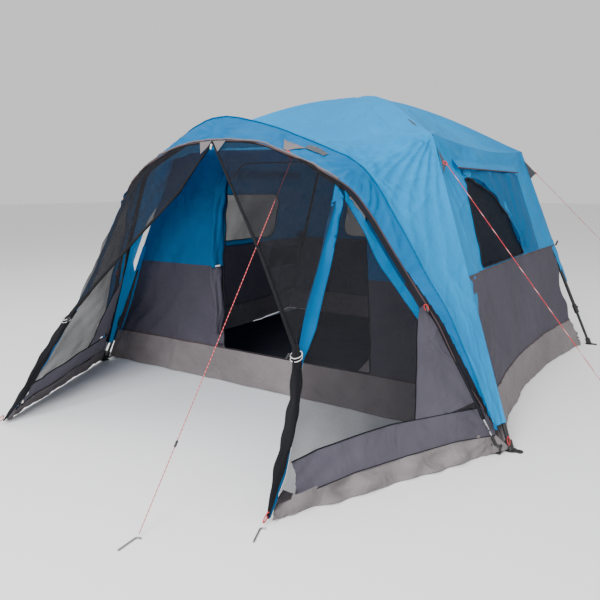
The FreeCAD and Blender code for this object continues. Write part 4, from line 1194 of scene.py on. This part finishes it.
bean_piece(
    "tip_toggle", (0.0, -1.842, 1.665), (0.3, 0, 1), (1, 0, 0), (0.034, 0.014, 0.014), WHITE, "porch_hoop",
    slot="grey_nylon", squash=PORCH,
)
red_loop("guy_loop_porch", (0.51, -1.79, 1.622), (0.522, -1.762, 1.585), 0.012, 0.0045)

# ---------------- door flap, pocket and floor
FLAP_FOLD = {"body": "lower_leg_front_left", "squash": wall_squash("front", "front_left")}


def pleats(a, t):
    return 0.22 * math.sin(4 * a + 3 * t) + 0.12 * math.sin(7 * a - 5 * t)


for label, z0, z1, material, radii, stands_for in (
    # the upper roll takes the painted-shade copy of the blue cloth
    ("upper", 0.85, 1.52, WALL_SHADE_BLUE, [0.05, 0.055, 0.06, 0.062, 0.06], ["door_flap"]),
    ("lower", 0.36, 0.86, GREY, [0.062, 0.056, 0.05, 0.045, 0.03], []),
):
    line = on_wall("front", [(-0.50 + 0.03 * math.sin(4 * z), z) for z in np.linspace(z1, z0, 44)], 0.035)
    tube_piece(
        "door_flap_" + label, line, radii, material, sides=28, flat=0.6, wobble=pleats, slot="tent_cloth",
        replaces=stands_for, **FLAP_FOLD,
    )
for z, lift, material in ((0.86, 0.075, WHITE), (0.275, 0.02, NYLON)):
    bean_piece(
        f"flap_toggle_{int(z * 100)}", on_wall("front", [(-0.46, z)], lift)[0], (1, 0, 0.2), (0, 0, 1),
        (0.05, 0.016, 0.016), material, slot="black_nylon", **FLAP_FOLD,
    )
wall_panel(
    "door_corner_patch", "front", "front_right", [(0.700, 0.262), (0.782, 0.262), (0.772, 0.345)], PATCH,
    "lower_leg_", 0.02, 0.004, slot="tent_cloth",
)
wall_panel(
    "left_pocket", "left", "back_left", [(0.56, 0.80), (1.14, 0.80), (1.14, 0.58), (0.56, 0.58)], DARK_TRIM,
    "upper_leg_", 0.03, -0.02, slot="mesh_net",
)
for sign, corner in HALVES["front"].items():
    ring = on_wall("front", half_ring(OPENINGS["front"], sign), 0.003)
    tube_piece(
        "door_binding_" + corner, ring, 0.006, DARK_TRIM, "lower_leg_" + corner, 8, 0.6, slot="tent_cloth",
        squash=wall_squash("front", corner),
    )


def floor_sheet(x, y):
    return np.stack([x, y, np.full(len(x), 0.012)], 1)


low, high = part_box("groundsheet")
made = grid_piece(
    "floor_sheet", floor_sheet, np.linspace(low.x, high.x, 90), np.linspace(low.y, high.y, 80), FLOOR_CLOTH, "base",
    Relief(12, 0.0018, 0.5, 0.12), slot="floor_cloth", replaces=["groundsheet"],
)

# ---------------- guy tabs and the small toggles
for corner in ("front_right", "back_right", "back_left", "front_left"):
    sx, sy = CORNERS[corner]
    tip = np.array((sx * 1.180, 1.140 if sy > 0 else -1.130, 1.550 if sy > 0 else 1.560))
    base_high, base_low = (corner_point(corner, z) - (0, sy * 0.03, 0) for z in (1.665, 1.50))

    def tab(s, w, tip=tip, high=base_high, low=base_low):
        edge = high + np.outer(s, low - high)
        return edge + (tip - edge) * w[:, None] + np.outer(0.006 * np.sin(math.pi * s) * (1 - w), (1, 0, 0))

    body = "upper_leg_" + corner
    grid_piece(
        "guy_tab_" + corner, tab, np.linspace(0, 1, 10), np.linspace(0, 0.97, 8), TAB, body, slot="tent_cloth"
    )
    inner, outer = tip - (sx * 0.02, 0, -0.012), tip + (sx * 0.006, 0, -0.006)
    red_loop("guy_loop_" + corner, inner, outer, 0.007, 0.003, body=body, squash=None)
for corner in ("back_right", "back_left"):
    bean_piece(
        "sleeve_toggle_" + corner, corner_point(corner, 0.93) + (CORNERS[corner][0] * 0.022, 0.022, 0), (0.3, 0.2, 1),
        (1, 0, 0), (0.05, 0.018, 0.018), NYLON, "upper_leg_" + corner, slot="black_nylon",
    )
for name, place, body in (
    ("roof_toggle_1", (0.76, -0.68, 1.875), "arm_front_right"),
    ("roof_toggle_2", (0.24, -1.10, 1.735), "porch_hoop"),
):
    bean_piece(name, place, (1, 0, 0.2), (0, 0, 1), (0.03, 0.013, 0.013), NYLON, body, slot="black_nylon")

# ---------------- finishes on the frame
FINISH = {
    "hub": NYLON, "hub_pins": STEEL, "hub_cap": NYLON, "roof_arm": POLE, "elbow": NYLON, "upper_leg": POLE,
    "leg_collar": NYLON, "release_button": GREY_NYLON, "lower_leg": POLE, "foot": NYLON, "porch_pole": TUBE,
    "porch_bow": TUBE, "porch_ferrules": STEEL, "porch_tips": NYLON, "porch_sockets": NYLON, "ground_pegs": STEEL,
}
for name, shown in NODES.items():
    for start, material in FINISH.items():
        if name == start or name.startswith(start + "_"):
            shown.data.materials.clear()
            shown.data.materials.append(material)
